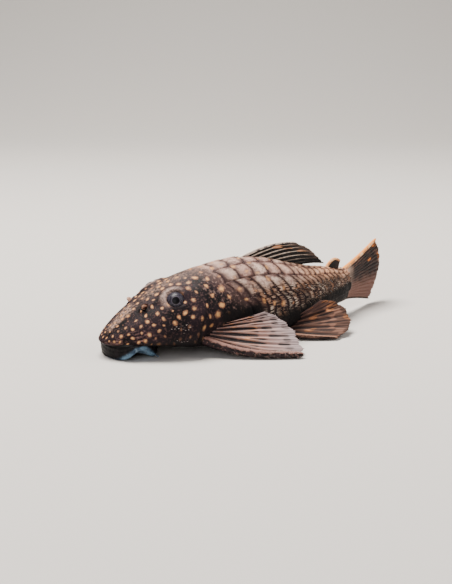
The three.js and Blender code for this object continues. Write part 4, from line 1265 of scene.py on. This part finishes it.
ANAL = [
    ((63.8, 0, 2.4), (76.6, 0, 0.6), (0, 0, -0.2)),
    ((65.1, 0, 2.8), (78.4, 0, 1.0), (0, 0, -0.2)),
    ((66.4, 0, 3.2), (78.9, 0, 1.8), (0, 0, -0.1)),
    ((67.7, 0, 3.6), (78.6, 0, 2.6), (0, 0, -0.1)),
]
CAUDAL_REACH = [(0, 111.6), (2, 113.6), (6, 116.2), (9, 115.4), (12, 112.2), (15, 107.8)]
CAUDAL_RAYS, CAUDAL_HEIGHTS, CAUDAL_TIPS = 16, (14.0, 5.3), (20.2, 2.6)
CAUDAL = []
for k in range(CAUDAL_RAYS):
    across = k / (CAUDAL_RAYS - 1)
    middling = np.sin(np.pi * across)
    spread = np.sin(np.pi * (across - 0.5)) * 0.12 + (across - 0.5) * 0.88 + 0.5
    root = (87.6 + 1.2 * middling, 0, mix(*CAUDAL_HEIGHTS, across))
    tip = (float(curve(CAUDAL_REACH, k)), 0.6 * middling, mix(*CAUDAL_TIPS, spread))
    CAUDAL.append((root, tip, (0, 0, -0.5 * (1 - 2 * across))))
print("rays:", len(PECTORAL), len(PELVIC), len(DORSAL), len(ANAL), len(CAUDAL))

# %% [markdown]
# ## The middle surface of a fin
#
# Between the rays of the table, roots, tips and bows are smooth curves over the ray's number. So a fin
# can be given more rays than the table has, and the web between them is as smooth as the fin. The right
# fins are the left ones with every sideways number turned round, which is surer than a mirrored object,
# whose triangles would face inwards.

# %% Middle surface of a fin
def other_side(rays):
    """The same fin on the right: every sideways number changes its sign."""
    return [tuple((s, -y, z) for s, y, z in ray) for ray in rays]


def fin_middle(rays, k, t):
    """The middle surface at ray k of the table and t along it: root and tip are mixed by t, and the bow is
    added times sin(pi t)."""
    table = np.array(rays, float).reshape(len(rays), 9)
    numbers = np.arange(len(rays))
    columns = [curve(list(zip(numbers, table[:, c])), k) for c in range(9)]
    root, tip, bow = (np.stack(columns[c:c + 3], -1) for c in (0, 3, 6))
    at = mix(root, tip, t[..., None]) + bow * np.sin(np.pi * t)[..., None]
    return place(at[..., 0], at[..., 1], at[..., 2])


front_edge = fin_middle(PECTORAL, np.zeros(2), np.array([0.0, 1.0]))
print("spine of the pectoral fin:", round(float(np.linalg.norm(front_edge[1] - front_edge[0])) / MM, 1), "mm")

# %% [markdown]
# ## Forked rays
#
# Each ray forks twice on its way out and shows as a ridge on both faces of the web. The ridges are bells
# across the web whose centres part at the two forks, so that a ray widens, splits and thins out in one
# surface. Rods laid on a flat sheet would look like the ribs of an umbrella.

# %% Forked rays
def forked(k, t, count, forks, width):
    """How near a point is to a ray, 0 to 1: the highest of four bells whose centres part at the two forks.
    The first ray is the spine, which is a piece of its own."""
    off = k - np.clip(np.round(k), 1, count - 1)
    apart = 0.25 * smooth(t, forks[0], forks[0] + 0.4)
    apart_again = 0.125 * smooth(t, forks[1], forks[1] + 0.35)
    narrow = width * mix(1.0, 0.36, smooth(t, 0.1, 0.9))
    branches = [bump(off - a * apart - b * apart_again, narrow) for a in (-1, 1) for b in (-1, 1)]
    return np.max(branches, axis=0), apart


ray_middle = forked(np.array([1.0, 1.0]), np.array([0.0, 1.0]), 3, (0.25, 0.6), 0.27)[0]
print("height in the middle of a ray, at its root and where it has forked:", np.round(ray_middle, 2))

# %% [markdown]
# ## Dashes of the web
#
# Dark dashes lie on the web between the rays. They nearly meet near the root and thin out towards the
# edge. On the real fish they form broken bands and not a grid, so each strip of web has a pace and a
# phase of its own. A picture of the bands would be an easy way, but the patterns here are made by rule
# alone.

# %% Dashes of the web
def web_dashes(k, t, apart, bars, dashes, draw):
    """Two sine waves along the fin with a phase and pace of their own in each strip of web, less the
    square of the distance from the strip's middle, which makes the dashes lens-shaped. There is a dash where
    they pass a threshold, which goes from the first to the second of the dashes towards the edge."""
    off = np.abs(k - np.round(k))
    inside = off < apart
    strip = np.where(inside, 20 + np.round(k), np.floor(k)).astype(int)
    phase, pace = draw.random(60)[strip], draw.uniform(0.8, 1.25, 60)[strip]
    wave = np.sin(2 * np.pi * (t * bars * pace + phase))
    wave = wave + 0.5 * np.sin(2 * np.pi * (t * bars * 1.7 + 2.3 * phase))
    across = np.where(inside, off / np.maximum(apart, 0.01), (0.5 - off) / (0.5 - apart))
    threshold = mix(dashes[0], dashes[1], smooth(t, 0.05, 0.95)) + np.where(inside, 0.5, 0.0)
    return smooth(wave - 0.7 * across**2, threshold - 0.35, threshold + 0.25)


web_k, web_t = np.meshgrid(np.linspace(1, 5, 81), np.linspace(0, 1, 50))
forks_apart = forked(web_k, web_t, 7, (0.25, 0.6), 0.27)[1]
web_dark = web_dashes(web_k, web_t, forks_apart, 3.4, (-2.3, 0.4), np.random.default_rng(1))
print("share of a pectoral web under dashes:", round(float(web_dark.mean()), 2))

# %% [markdown]
# ## A closed sheet
#
# A web is thin, and both its faces can be seen. It is made as a closed sheet with an upper grid, a lower
# grid and a rim between them. Blender's solidify modifier does the same, but here the thickness follows
# the rays, and the modifier would need that painted on as a weight.

# %% Closed sheet
def sheet_faces(rows, cols):
    """Triangles of a closed sheet: an upper grid, a lower one numbered after it, and a rim that joins
    them."""
    r, c = np.meshgrid(np.arange(rows - 1), np.arange(cols - 1), indexing="ij")
    a = (r * cols + c).ravel()
    b, d, e, under = a + 1, a + cols + 1, a + cols, rows * cols
    first_side, second_side = np.arange(2, rows + 1) * cols - 1, np.arange(rows - 2, 0, -1) * cols
    far_side = (rows - 1) * cols + np.arange(cols - 2, -1, -1)
    edge = np.concatenate([np.arange(cols), first_side, far_side, second_side])
    after = np.roll(edge, -1)
    return np.concatenate([
        np.stack([a, b, d], -1), np.stack([a, d, e], -1),
        np.stack([a, d, b], -1) + under, np.stack([a, e, d], -1) + under,
        np.stack([after, edge, edge + under], -1),
        np.stack([after, edge + under, after + under], -1)])


print("triangles of a closed sheet of 3 by 3 points:", len(sheet_faces(3, 3)))

# %% [markdown]
# ## The web of a fin
#
# Between the rays the web sags to one side and ends a little short, so that the fin's edge is ragged. The
# thickness of the sheet is the web plus the ridges, and it thins out towards the edge. Colours need to
# know the ray, the place along it and the dashes, so the mesh carries them. A fin may also have a few
# patches of orange or cream. Where a fin would dip into the floor it is stopped at the floor.

# %% Web of a fin
def fin_web(name, rays, count, material, cad_node, web=0.3, ridge=0.5, steps=24, rows=90,
            forks=(0.25, 0.6), width=0.27, sag=0.25, notch=0.02, bars=6.0, dashes=(-1.0, 1.2), patches=(),
            seed=1):
    """The two faces lie at plus and minus half the thickness along the middle surface's normal. Patches are
    oval places of another colour, each given by its ray, its place along it and its size both ways."""
    draw = np.random.default_rng(seed)
    k = np.linspace(0, count - 1, (count - 1) * steps + 1)[None]
    t0 = np.linspace(0, 1, rows)[:, None]
    ragged = notch * np.abs(np.sin(np.pi * k)) ** 0.7 + 0.5 * notch * np.abs(np.sin(4 * np.pi * k))
    uneven = 0.03 * draw.random(count + 1)[np.round(k).astype(int)] + 0.01 * draw.random(k.shape)
    t = t0 * (1 - (ragged + uneven) * smooth(k, 0, 0.5))
    k = np.broadcast_to(k, t.shape)
    middle = fin_middle(rays, k * (len(rays) - 1) / (count - 1), t)
    ray, apart = forked(k, t, count, forks, width)
    thick = web * mix(1.0, 0.4, t) + ridge * ray * mix(1.0, 0.35, t)
    thin_edge = np.minimum(smooth(1 - t0, 0, 0.02) + 0.25, 1.0)
    thick = thick * thin_edge * np.where(k == count - 1, 0.4, 1.0)
    normal = np.cross(np.gradient(middle, axis=1), np.gradient(middle, axis=0))
    normal /= np.linalg.norm(normal, axis=-1, keepdims=True)
    fold = sag * np.sin(np.pi * (k % 1)) ** 2 * smooth(t, 0.03, 0.3)
    middle = middle + MM * fold[..., None] * normal
    half = MM * thick[..., None] / 2 * normal
    points = np.concatenate([(middle + half).reshape(-1, 3), (middle - half).reshape(-1, 3)])
    points[:, 2] = np.maximum(points[:, 2], 0.0)
    patch = np.zeros(t.shape)
    for at_k, at_t, size_k, size_t in patches:
        patch = np.maximum(patch, bump(k - at_k, size_k) * bump(t - at_t, size_t))
    carried = {"ray": ray, "along": t, "bar": web_dashes(k, t, apart, bars, dashes, draw), "number": k,
               "patch": smooth(patch, 0.3, 0.6)}
    faces = sheet_faces(*t.shape)
    made = add_mesh(name, points, faces, material,
                    {key: np.tile(values.ravel(), 2) for key, values in carried.items()})
    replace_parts(made, cad_node)
    print(name, "triangles:", len(faces))


def some_patches(count, rays, reach, seed):
    """Ovals strewn at random over the rays and between two places along them."""
    draw = np.random.default_rng(seed)
    return np.stack([draw.uniform(0.8, rays - 1, count), draw.uniform(*reach, count),
                     draw.uniform(0.12, 0.3, count), draw.uniform(0.03, 0.07, count)], -1)


print("thickness of a web where its fin gives none:", fin_web.__defaults__[0], "mm")

# %% [markdown]
# ## The spine of a fin
#
# The spine along a fin's front edge is a round tapered rod of bone in skin, bowed with the fin. On the
# pectoral fins it bears small spikes that point to its tip and help the fish to stay wedged in a crack.
# It is a tube along the first ray, and carries which side is up, because its colours go by the side: a
# painted highlight along the top and painted shade below. A curve with a bevel would make the same rod,
# but without that value.

# %% Spine of a fin
SPINE_STEPS, SPINE_SIDES = 60, 20
SPIKE_RADIUS, SPIKE_LENGTH = 0.1, (0.45, 0.95)


def fin_spine(name, rays, radii, material, spikes=0, seed=1):
    """A tube whose radius goes in a straight line between the two radii and closes over its last tenth. The
    spikes are cones rooted on its outer two thirds."""
    t = np.linspace(0, 0.985, SPINE_STEPS)
    path = fin_middle(rays, np.zeros(SPINE_STEPS), t)
    radius = MM * mix(radii[0], radii[1], t) * np.sqrt(1 - np.clip((t - 0.9) / 0.1, 0, 0.97) ** 2)
    path[:, 2] = np.maximum(path[:, 2], radius)
    rings = tube(path, radius, SPINE_SIDES)
    points, faces = tube_mesh(rings, path[0], path[-1] + 0.3 * radius[-1])
    upper = np.append(((rings - path[:, None]) / radius[:, None, None])[..., 2], [0, 0])
    along_spine = np.append(np.repeat(t, SPINE_SIDES), [0, 1])
    add_mesh(name, points, faces, material, {"upper": upper, "along": along_spine})
    if not spikes:
        return
    draw = np.random.default_rng(seed)
    last = SPINE_STEPS - 1
    r = np.clip((0.3 + 0.68 * draw.random(spikes) ** 0.8) * last, 1, last - 1).astype(int)
    i = draw.integers(0, SPINE_SIDES, spikes)
    out = rings[r, i] - path[r]
    out /= np.linalg.norm(out, axis=1, keepdims=True)
    along = path[r + 1] - path[r - 1]
    along /= np.linalg.norm(along, axis=1, keepdims=True)
    length = MM * draw.uniform(*SPIKE_LENGTH, spikes)
    points, faces = cones(path[r] + 0.9 * radius[r, None] * out, out + 1.2 * along, length,
                          np.full(spikes, SPIKE_RADIUS * MM), 4)
    points[:, 2] = np.maximum(points[:, 2], 0.0)
    add_mesh(name + "_spikes", points, faces, spike_paint)


print("spikes:", 2 * SPIKE_RADIUS, "mm thick")

# %% [markdown]
# ## The shader of a fin
#
# Pale rays lie on a web of dark dashes and gaps, and towards the edge both take another tone, where light
# comes through. Streaks along the rays, patches, and zones with a tone of their own go on top. One
# function holds this order of layers, and each fin gives its own colours. A shader drawn for each fin
# would repeat the same layers six times.

# %% Fin material
def fin_material(name, web, web_far, ray, ray_far, bar, patch, far=(0.4, 0.95), bar_web=0.95,
                 bar_ray=0.3, streaky=0.3, streak_pace=14.0, zones=()):
    """Colours near the root and far out for web and ray, then of the bars and of the patches. Zones are parts
    of a fin with a colour of their own: the value they go by, where they begin and are full, their colour
    and how strong it is."""
    sh = Shader(name, 0.55, specular=0.15)
    keys = ("ray", "along", "bar", "number", "patch")
    near, along, bars, number, patches = (sh.carried(key) for key in keys)
    cloud, fine = sh.noise(420, 3), sh.noise(1300, 3)
    out = sh.ramp(sh.jitter(along, cloud, 0.25), *far)
    streaks = sh.noise(1.0, 2, sh.along(sh.times(number, streak_pace), sh.times(along, 3.0), 0.0))
    between = sh.blend(sh.times(patches, 0.9), sh.blend(out, paint(*web), paint(*web_far)), paint(*patch))
    between = sh.blend(sh.times(bars, bar_web), between, paint(*bar))
    between = sh.blend(sh.ramp(streaks, 0.5, 0.68, 0.0, streaky), between, paint(*ray_far))
    bone = sh.blend(sh.ramp(fine, 0.4, 0.65, 0.0, 0.6), paint(*ray), paint(*ray_far))
    bone = sh.blend(out, bone, paint(*ray_far))
    bone = sh.blend(sh.times(patches, 0.6), bone, paint(*patch))
    bone = sh.blend(sh.times(bars, bar_ray), bone, paint(*bar))
    colour = sh.blend(sh.ramp(near, 0.25, 0.7), between, bone)
    for key, begins, full, tone, strength in zones:
        value = sh.jitter(sh.carried(key), cloud, 0.8 * abs(full - begins))
        off_patches = sh.ramp(patches, 0.0, 1.0, 1.0, 0.0)
        amount = sh.times(sh.ramp(value, begins, full, 0.0, strength), off_patches)
        colour = sh.blend(amount, colour, paint(*tone))
    return sh.finish(colour, sh.bump(sh.noise(2400, 2), 0.25, 0.0002))


print("layers of a web: ground, patches, bars, streaks, rays, zones")

# %% [markdown]
# ## Colours of the spines and spikes
#
# The spines are pale along the top, mottled in the middle and dark below, with ragged borders between the
# three; the pale top is mostly a painted highlight and the dark underside is painted shade. The dorsal
# spine is almost white, the pectoral ones are dusky with a pinkish painted highlight along the top, the
# spines of the adipose fin and of the tail's upper edge are orange, and the tail's lower one is brown. Two
# steps by the value that says how far up a point looks are enough for that.

# %% Colours of the spines
def spine_colours(name, top, body, dark):
    """Three tones from top to underside, whose borders are shifted by noise: mostly a painted highlight along
    the top, the spine's own tones in the middle, and painted shade below.
    """
    sh = Shader(name, 0.55, specular=0.15)
    upper, fine, cloud = sh.carried("upper"), sh.noise(1500, 3), sh.noise(520, 3)
    middle = sh.blend(sh.ramp(cloud, 0.42, 0.58), paint(*body), paint(*dark))
    middle = sh.blend(sh.ramp(fine, 0.55, 0.7, 0.0, 0.6), middle, paint(*top))
    ragged = sh.jitter(sh.jitter(upper, fine, 0.6), cloud, 1.1)
    # Painted highlight along the top of the spine.
    colour = sh.blend(sh.ramp(ragged, 0.45, 0.85), middle, paint(*top))
    # Painted shade on the underside of the spine.
    colour = sh.blend(sh.ramp(sh.jitter(upper, fine, 0.6), -0.2, -0.75), colour, paint(*dark))
    return sh.finish(colour, sh.bump(fine, 0.5, 0.0002))


spike_shader = Shader("fin_spikes", 0.4)
spike_tone = spike_shader.ramp(spike_shader.noise(900, 2), 0.4, 0.6)
spike_paint = spike_shader.finish(spike_shader.blend(spike_tone, paint(40, 28, 30), paint(176, 154, 146)))
pectoral_spine_paint = spine_colours("pectoral_spine", (140, 102, 92), (44, 30, 33), (12, 8, 11))
pelvic_spine_paint = spine_colours("pelvic_spine", (156, 114, 94), (92, 66, 56), (28, 18, 18))
dorsal_spine_paint = spine_colours("dorsal_spine", (236, 224, 212), (214, 196, 184), (96, 84, 84))
orange_spine_paint = spine_colours("orange_spine", (255, 158, 66), (252, 204, 156), (196, 132, 88))
brown_spine_paint = spine_colours("brown_spine", (120, 88, 74), (76, 52, 46), (30, 19, 19))
print("spine colours: dusky, tan, white, orange and brown")

# %% [markdown]
# ## Colours of each fin
#
# On the side fins a web of tan gaps and black dashes turns lilac grey towards the edge. The dorsal fin
# has black webs and cream rays, which get darker towards the rear. The tail fin is nearly black with
# brown streaks, pale at its root, and orange at its rear edge. The anal fin and the small adipose fin are
# plain. The colours were read off the photograph, next to renders of the same place, and changed step
# by step until both looked alike.

# %% Colours of each fin
pectoral_paint = fin_material("pectoral_web", (110, 70, 56), (128, 114, 116), (190, 142, 124),
                              (166, 148, 148), (15, 8, 12), (222, 150, 98), far=(0.45, 1.0),
                              bar_web=1.0, zones=[("along", 0.45, 0.1, (50, 32, 32), 0.4)])
pelvic_paint = fin_material("pelvic_web", (78, 50, 41), (100, 66, 52), (130, 92, 76), (126, 92, 78),
                            (18, 10, 13), (226, 146, 90), far=(0.7, 1.0), bar_ray=0.6,
                            zones=[("number", 3.2, 4.6, (84, 62, 58), 0.7),
                                   ("along", 0.4, 0.05, (34, 22, 24), 0.6)])
dorsal_paint = fin_material("dorsal_web", (10, 8, 10), (56, 44, 42), (222, 204, 188), (150, 122, 106),
                            (8, 6, 8), (226, 158, 112), far=(0.55, 0.95), bar_ray=0.2, streaky=0.12,
                            zones=[("number", 3.4, 5.6, (14, 10, 12), 0.92)])
caudal_paint = fin_material("caudal_web", (14, 8, 9), (14, 8, 9), (64, 40, 36), (118, 82, 68), (8, 5, 6),
                            (255, 146, 58), far=(0.8, 1.0), bar_ray=0.8, streaky=0.85, streak_pace=1.3,
                            zones=[("along", 0.36, 0.17, (196, 168, 150), 0.85),
                                   ("number", 2.2, 4.8, (22, 13, 15), 0.6),
                                   ("number", 6.5, 12.5, (142, 102, 90), 0.65)])
anal_paint = fin_material("anal_web", (100, 68, 54), (94, 70, 62), (136, 98, 80), (130, 102, 88),
                          (24, 14, 16), (196, 134, 92))
adipose_paint = fin_material("adipose_web", (14, 8, 9), (34, 20, 17), (22, 14, 12), (52, 32, 24), (9, 6, 7),
                             (214, 146, 92))
print("nodes of the pectoral web's shader:", len(pectoral_paint.node_tree.nodes))

# %% [markdown]
# ## The side fins
#
# The pectoral and pelvic fins stand out from the lower flank, fan out backwards and prop the fish up.
# Their spines lie lowest, on the bottom, and their last rays rise beside the body. The same two calls
# make each of the four, with the right ones mirrored and given other random numbers, so that left and
# right aren't twins in their markings.

# %% Side fins
for side, name in ((-1, "left"), (1, "right")):
    pectoral = PECTORAL if side < 0 else other_side(PECTORAL)
    pelvic = PELVIC if side < 0 else other_side(PELVIC)
    fin_web("pectoral_" + name, pectoral, 7, pectoral_paint, "pectoral_fin_" + name, bars=3.4, width=0.22,
            dashes=(-2.3, 0.4), patches=some_patches(9, 7, (0.2, 0.65), 40 + side), seed=3 + side)
    fin_spine("pectoral_spine_" + name, pectoral, (1.4, 0.95), pectoral_spine_paint, 220, 20 + side)
    fin_web("pelvic_" + name, pelvic, 6, pelvic_paint, "pelvic_fin_" + name, rows=80, bars=2.8,
            dashes=(-2.0, -1.1), patches=some_patches(14, 6, (0.45, 0.98), 50 + side), seed=7 + side)
    fin_spine("pelvic_spine_" + name, pelvic, (0.8, 0.5), pelvic_spine_paint)

# %% [markdown]
# ## The fins on the midline
#
# The dorsal fin is half folded, so its rays lie back along the spine. The adipose fin is a single curved
# spine with a small web. The anal fin lies flat under the tail, and the tail fin closes the body. Orange
# patches sit on the tail fin's rear edge and one inside it. They are placed by ray and by share of its
# length, and a strewn rule would not do here, because each can be made out in the photograph.

# %% Midline fins
fin_web("dorsal", DORSAL, 8, dorsal_paint, "dorsal_fin", rows=70, sag=0.4, bars=3.0, dashes=(1.2, -0.2),
        forks=(0.6, 0.85), width=0.17, seed=12,
        patches=[(1, 0.55, 0.5, 0.1), (2, 0.6, 0.3, 0.08), (3, 0.75, 0.3, 0.1)])
fin_spine("dorsal_spine", DORSAL, (0.6, 0.4), dorsal_spine_paint)
fin_web("adipose", ADIPOSE, 2, adipose_paint, "adipose_fin", rows=40, sag=0.0, ridge=0.1, notch=0.0, seed=13)
fin_spine("adipose_spine", ADIPOSE, (0.5, 0.35), orange_spine_paint)
fin_web("anal", ANAL, 5, anal_paint, "anal_fin", rows=50, seed=14)
fin_spine("anal_spine", ANAL, (0.4, 0.25), pelvic_spine_paint)
fin_web("caudal", CAUDAL, CAUDAL_RAYS, caudal_paint, "caudal_fin", steps=16, rows=80, ridge=0.4,
        bars=4.0, dashes=(-0.3, -1.0), seed=15,
        patches=[(0.8, 0.94, 1.2, 0.1), (4.8, 0.98, 1.7, 0.09), (3.8, 0.7, 0.6, 0.07)])
fin_spine("caudal_spine_upper", CAUDAL, (0.7, 0.5), orange_spine_paint)
fin_spine("caudal_spine_lower", CAUDAL[::-1], (0.5, 0.3), brown_spine_paint)

# %% [markdown]
# ## Floor
#
# The fish stands on a plain pale floor that curves up behind it without an edge. A plane and a wall would
# show a line where they meet. The floor is one profile of depth and height, a straight run and a quarter
# circle, swept sideways. It is a part of the stage and not of the model.

# %% Floor
CAMERA_AZIMUTH = np.radians(-28.4)
FLAT_FROM, FLAT_TO, SWEEP, WALL_TOP, HALF_WIDTH = -1.2, 0.5, 0.4, 2.2, 2.0


def floor_mesh():
    """A sheet that is flat near the fish and rises behind it along a quarter circle. Its profile is a path
    in depth and height, swept sideways."""
    turn = np.linspace(0.1, np.pi / 2, 16)
    depth = np.concatenate([np.linspace(FLAT_FROM, FLAT_TO, 20), FLAT_TO + SWEEP * np.sin(turn),
                            [FLAT_TO + SWEEP]])
    height = np.concatenate([np.zeros(20), SWEEP - SWEEP * np.cos(turn), [WALL_TOP]])
    ahead = np.array([-np.sin(CAMERA_AZIMUTH), np.cos(CAMERA_AZIMUTH), 0.0])
    sideways = np.array([np.cos(CAMERA_AZIMUTH), np.sin(CAMERA_AZIMUTH), 0.0])
    span = np.array([-HALF_WIDTH, HALF_WIDTH])
    flat = depth[:, None, None] * ahead + span[None, :, None] * sideways
    grid = flat + height[:, None, None] * np.array([0, 0, 1.0])
    r = np.arange(len(depth) - 1)
    return grid.reshape(-1, 3), np.stack([2 * r, 2 * r + 1, 2 * r + 3, 2 * r + 2], -1)


floor_shader = Shader("floor", 0.75, specular=0.2)
floor_paint = floor_shader.finish(paint(214, 210, 206))
points, faces = floor_mesh()
mesh = bpy.data.meshes.new("floor")
mesh.from_pydata(points.tolist(), [], faces.tolist())
mesh.materials.append(floor_paint)
mesh.polygons.foreach_set("use_smooth", np.ones(len(faces), bool))
floor = bpy.data.objects.new("floor", mesh)
bpy.context.scene.collection.objects.link(floor)
print("floor: flat for", FLAT_TO - FLAT_FROM, "m, then a sweep of", SWEEP, "m")

# %% [markdown]
# ## Light
#
# In the photograph the light falls from above, and the underside is dark. A large soft lamp above and
# behind the fish does that. Two weak lamps in front and at the side keep the shadows readable, and a dim
# even sky fills the rest. One small hard lamp would draw the plates more sharply than the photograph
# shows them.

# %% Light
def lamp(name, at, size, power, colour, aim):
    """A rectangular lamp in metres and watts that looks from one point at another."""
    data = bpy.data.lights.new(name, "AREA")
    data.shape, data.size, data.size_y = "RECTANGLE", size[0], size[1]
    data.energy, data.color = power, colour
    made = bpy.data.objects.new(name, data)
    made.location = at
    made.rotation_euler = (Vector(aim) - Vector(at)).to_track_quat("-Z", "Y").to_euler()
    bpy.context.scene.collection.objects.link(made)


MIDDLE_OF_FISH = (0.0, 0.0, 0.01)
SKY_COLOUR, SKY_STRENGTH = (0.75, 0.76, 0.78, 1.0), 0.25
lamp("key", (-0.05, 0.2, 0.6), (0.4, 0.3), 11.5, (1.0, 0.95, 0.88), MIDDLE_OF_FISH)
lamp("fill", (-0.45, -0.45, 0.3), (0.5, 0.4), 1.3, (0.98, 0.97, 1.0), MIDDLE_OF_FISH)
lamp("side", (0.45, -0.2, 0.35), (0.3, 0.3), 1.4, (1.0, 0.95, 0.9), MIDDLE_OF_FISH)
world = bpy.data.worlds.new("studio")
world.use_nodes = True
sky = world.node_tree.nodes["Background"]
sky.inputs["Color"].default_value = SKY_COLOUR
sky.inputs["Strength"].default_value = SKY_STRENGTH
bpy.context.scene.world = world
print("lamps: key, fill and side")

# %% [markdown]
# ## Camera
#
# The camera takes the place that it had in the photograph: low, in front of the fish's left shoulder. Its
# direction and lens were fitted to landmarks such as the brows, the nostrils and the fin roots, with the
# error spread over all of them. A camera set by eye can be some degrees off, and then every shape is
# judged wrongly.

# %% Camera
CAMERA_ELEVATION = np.radians(13.7)
CAMERA_DISTANCE, FOCAL_LENGTH, SENSOR = 0.350, 72.74, 36.0
AIM_S, AIM_HEIGHT = 42.4, 14.2
aim = np.array([AIM_S - float(REST_X), -float(REST_Y), AIM_HEIGHT]) * MM
towards = np.array([np.sin(CAMERA_AZIMUTH) * np.cos(CAMERA_ELEVATION),
                    -np.cos(CAMERA_AZIMUTH) * np.cos(CAMERA_ELEVATION), np.sin(CAMERA_ELEVATION)])
camera_data = bpy.data.cameras.new("camera")
camera_data.lens, camera_data.sensor_width = FOCAL_LENGTH, SENSOR
camera_data.clip_start, camera_data.clip_end = 0.01, 10.0
camera = bpy.data.objects.new("camera", camera_data)
camera.location = Vector(aim + towards * CAMERA_DISTANCE)
camera.rotation_euler = Vector(-towards).to_track_quat("-Z", "Y").to_euler()
bpy.context.scene.collection.objects.link(camera)
bpy.context.scene.camera = camera
print("camera:", FOCAL_LENGTH, "mm lens,", CAMERA_DISTANCE, "m away")

# %% [markdown]
# ## Size
#
# The looks must stay the size of the solids, or the two would no longer be one model. Spines and spikes
# may pass the solids by a fraction of a millimetre, as hairs would.
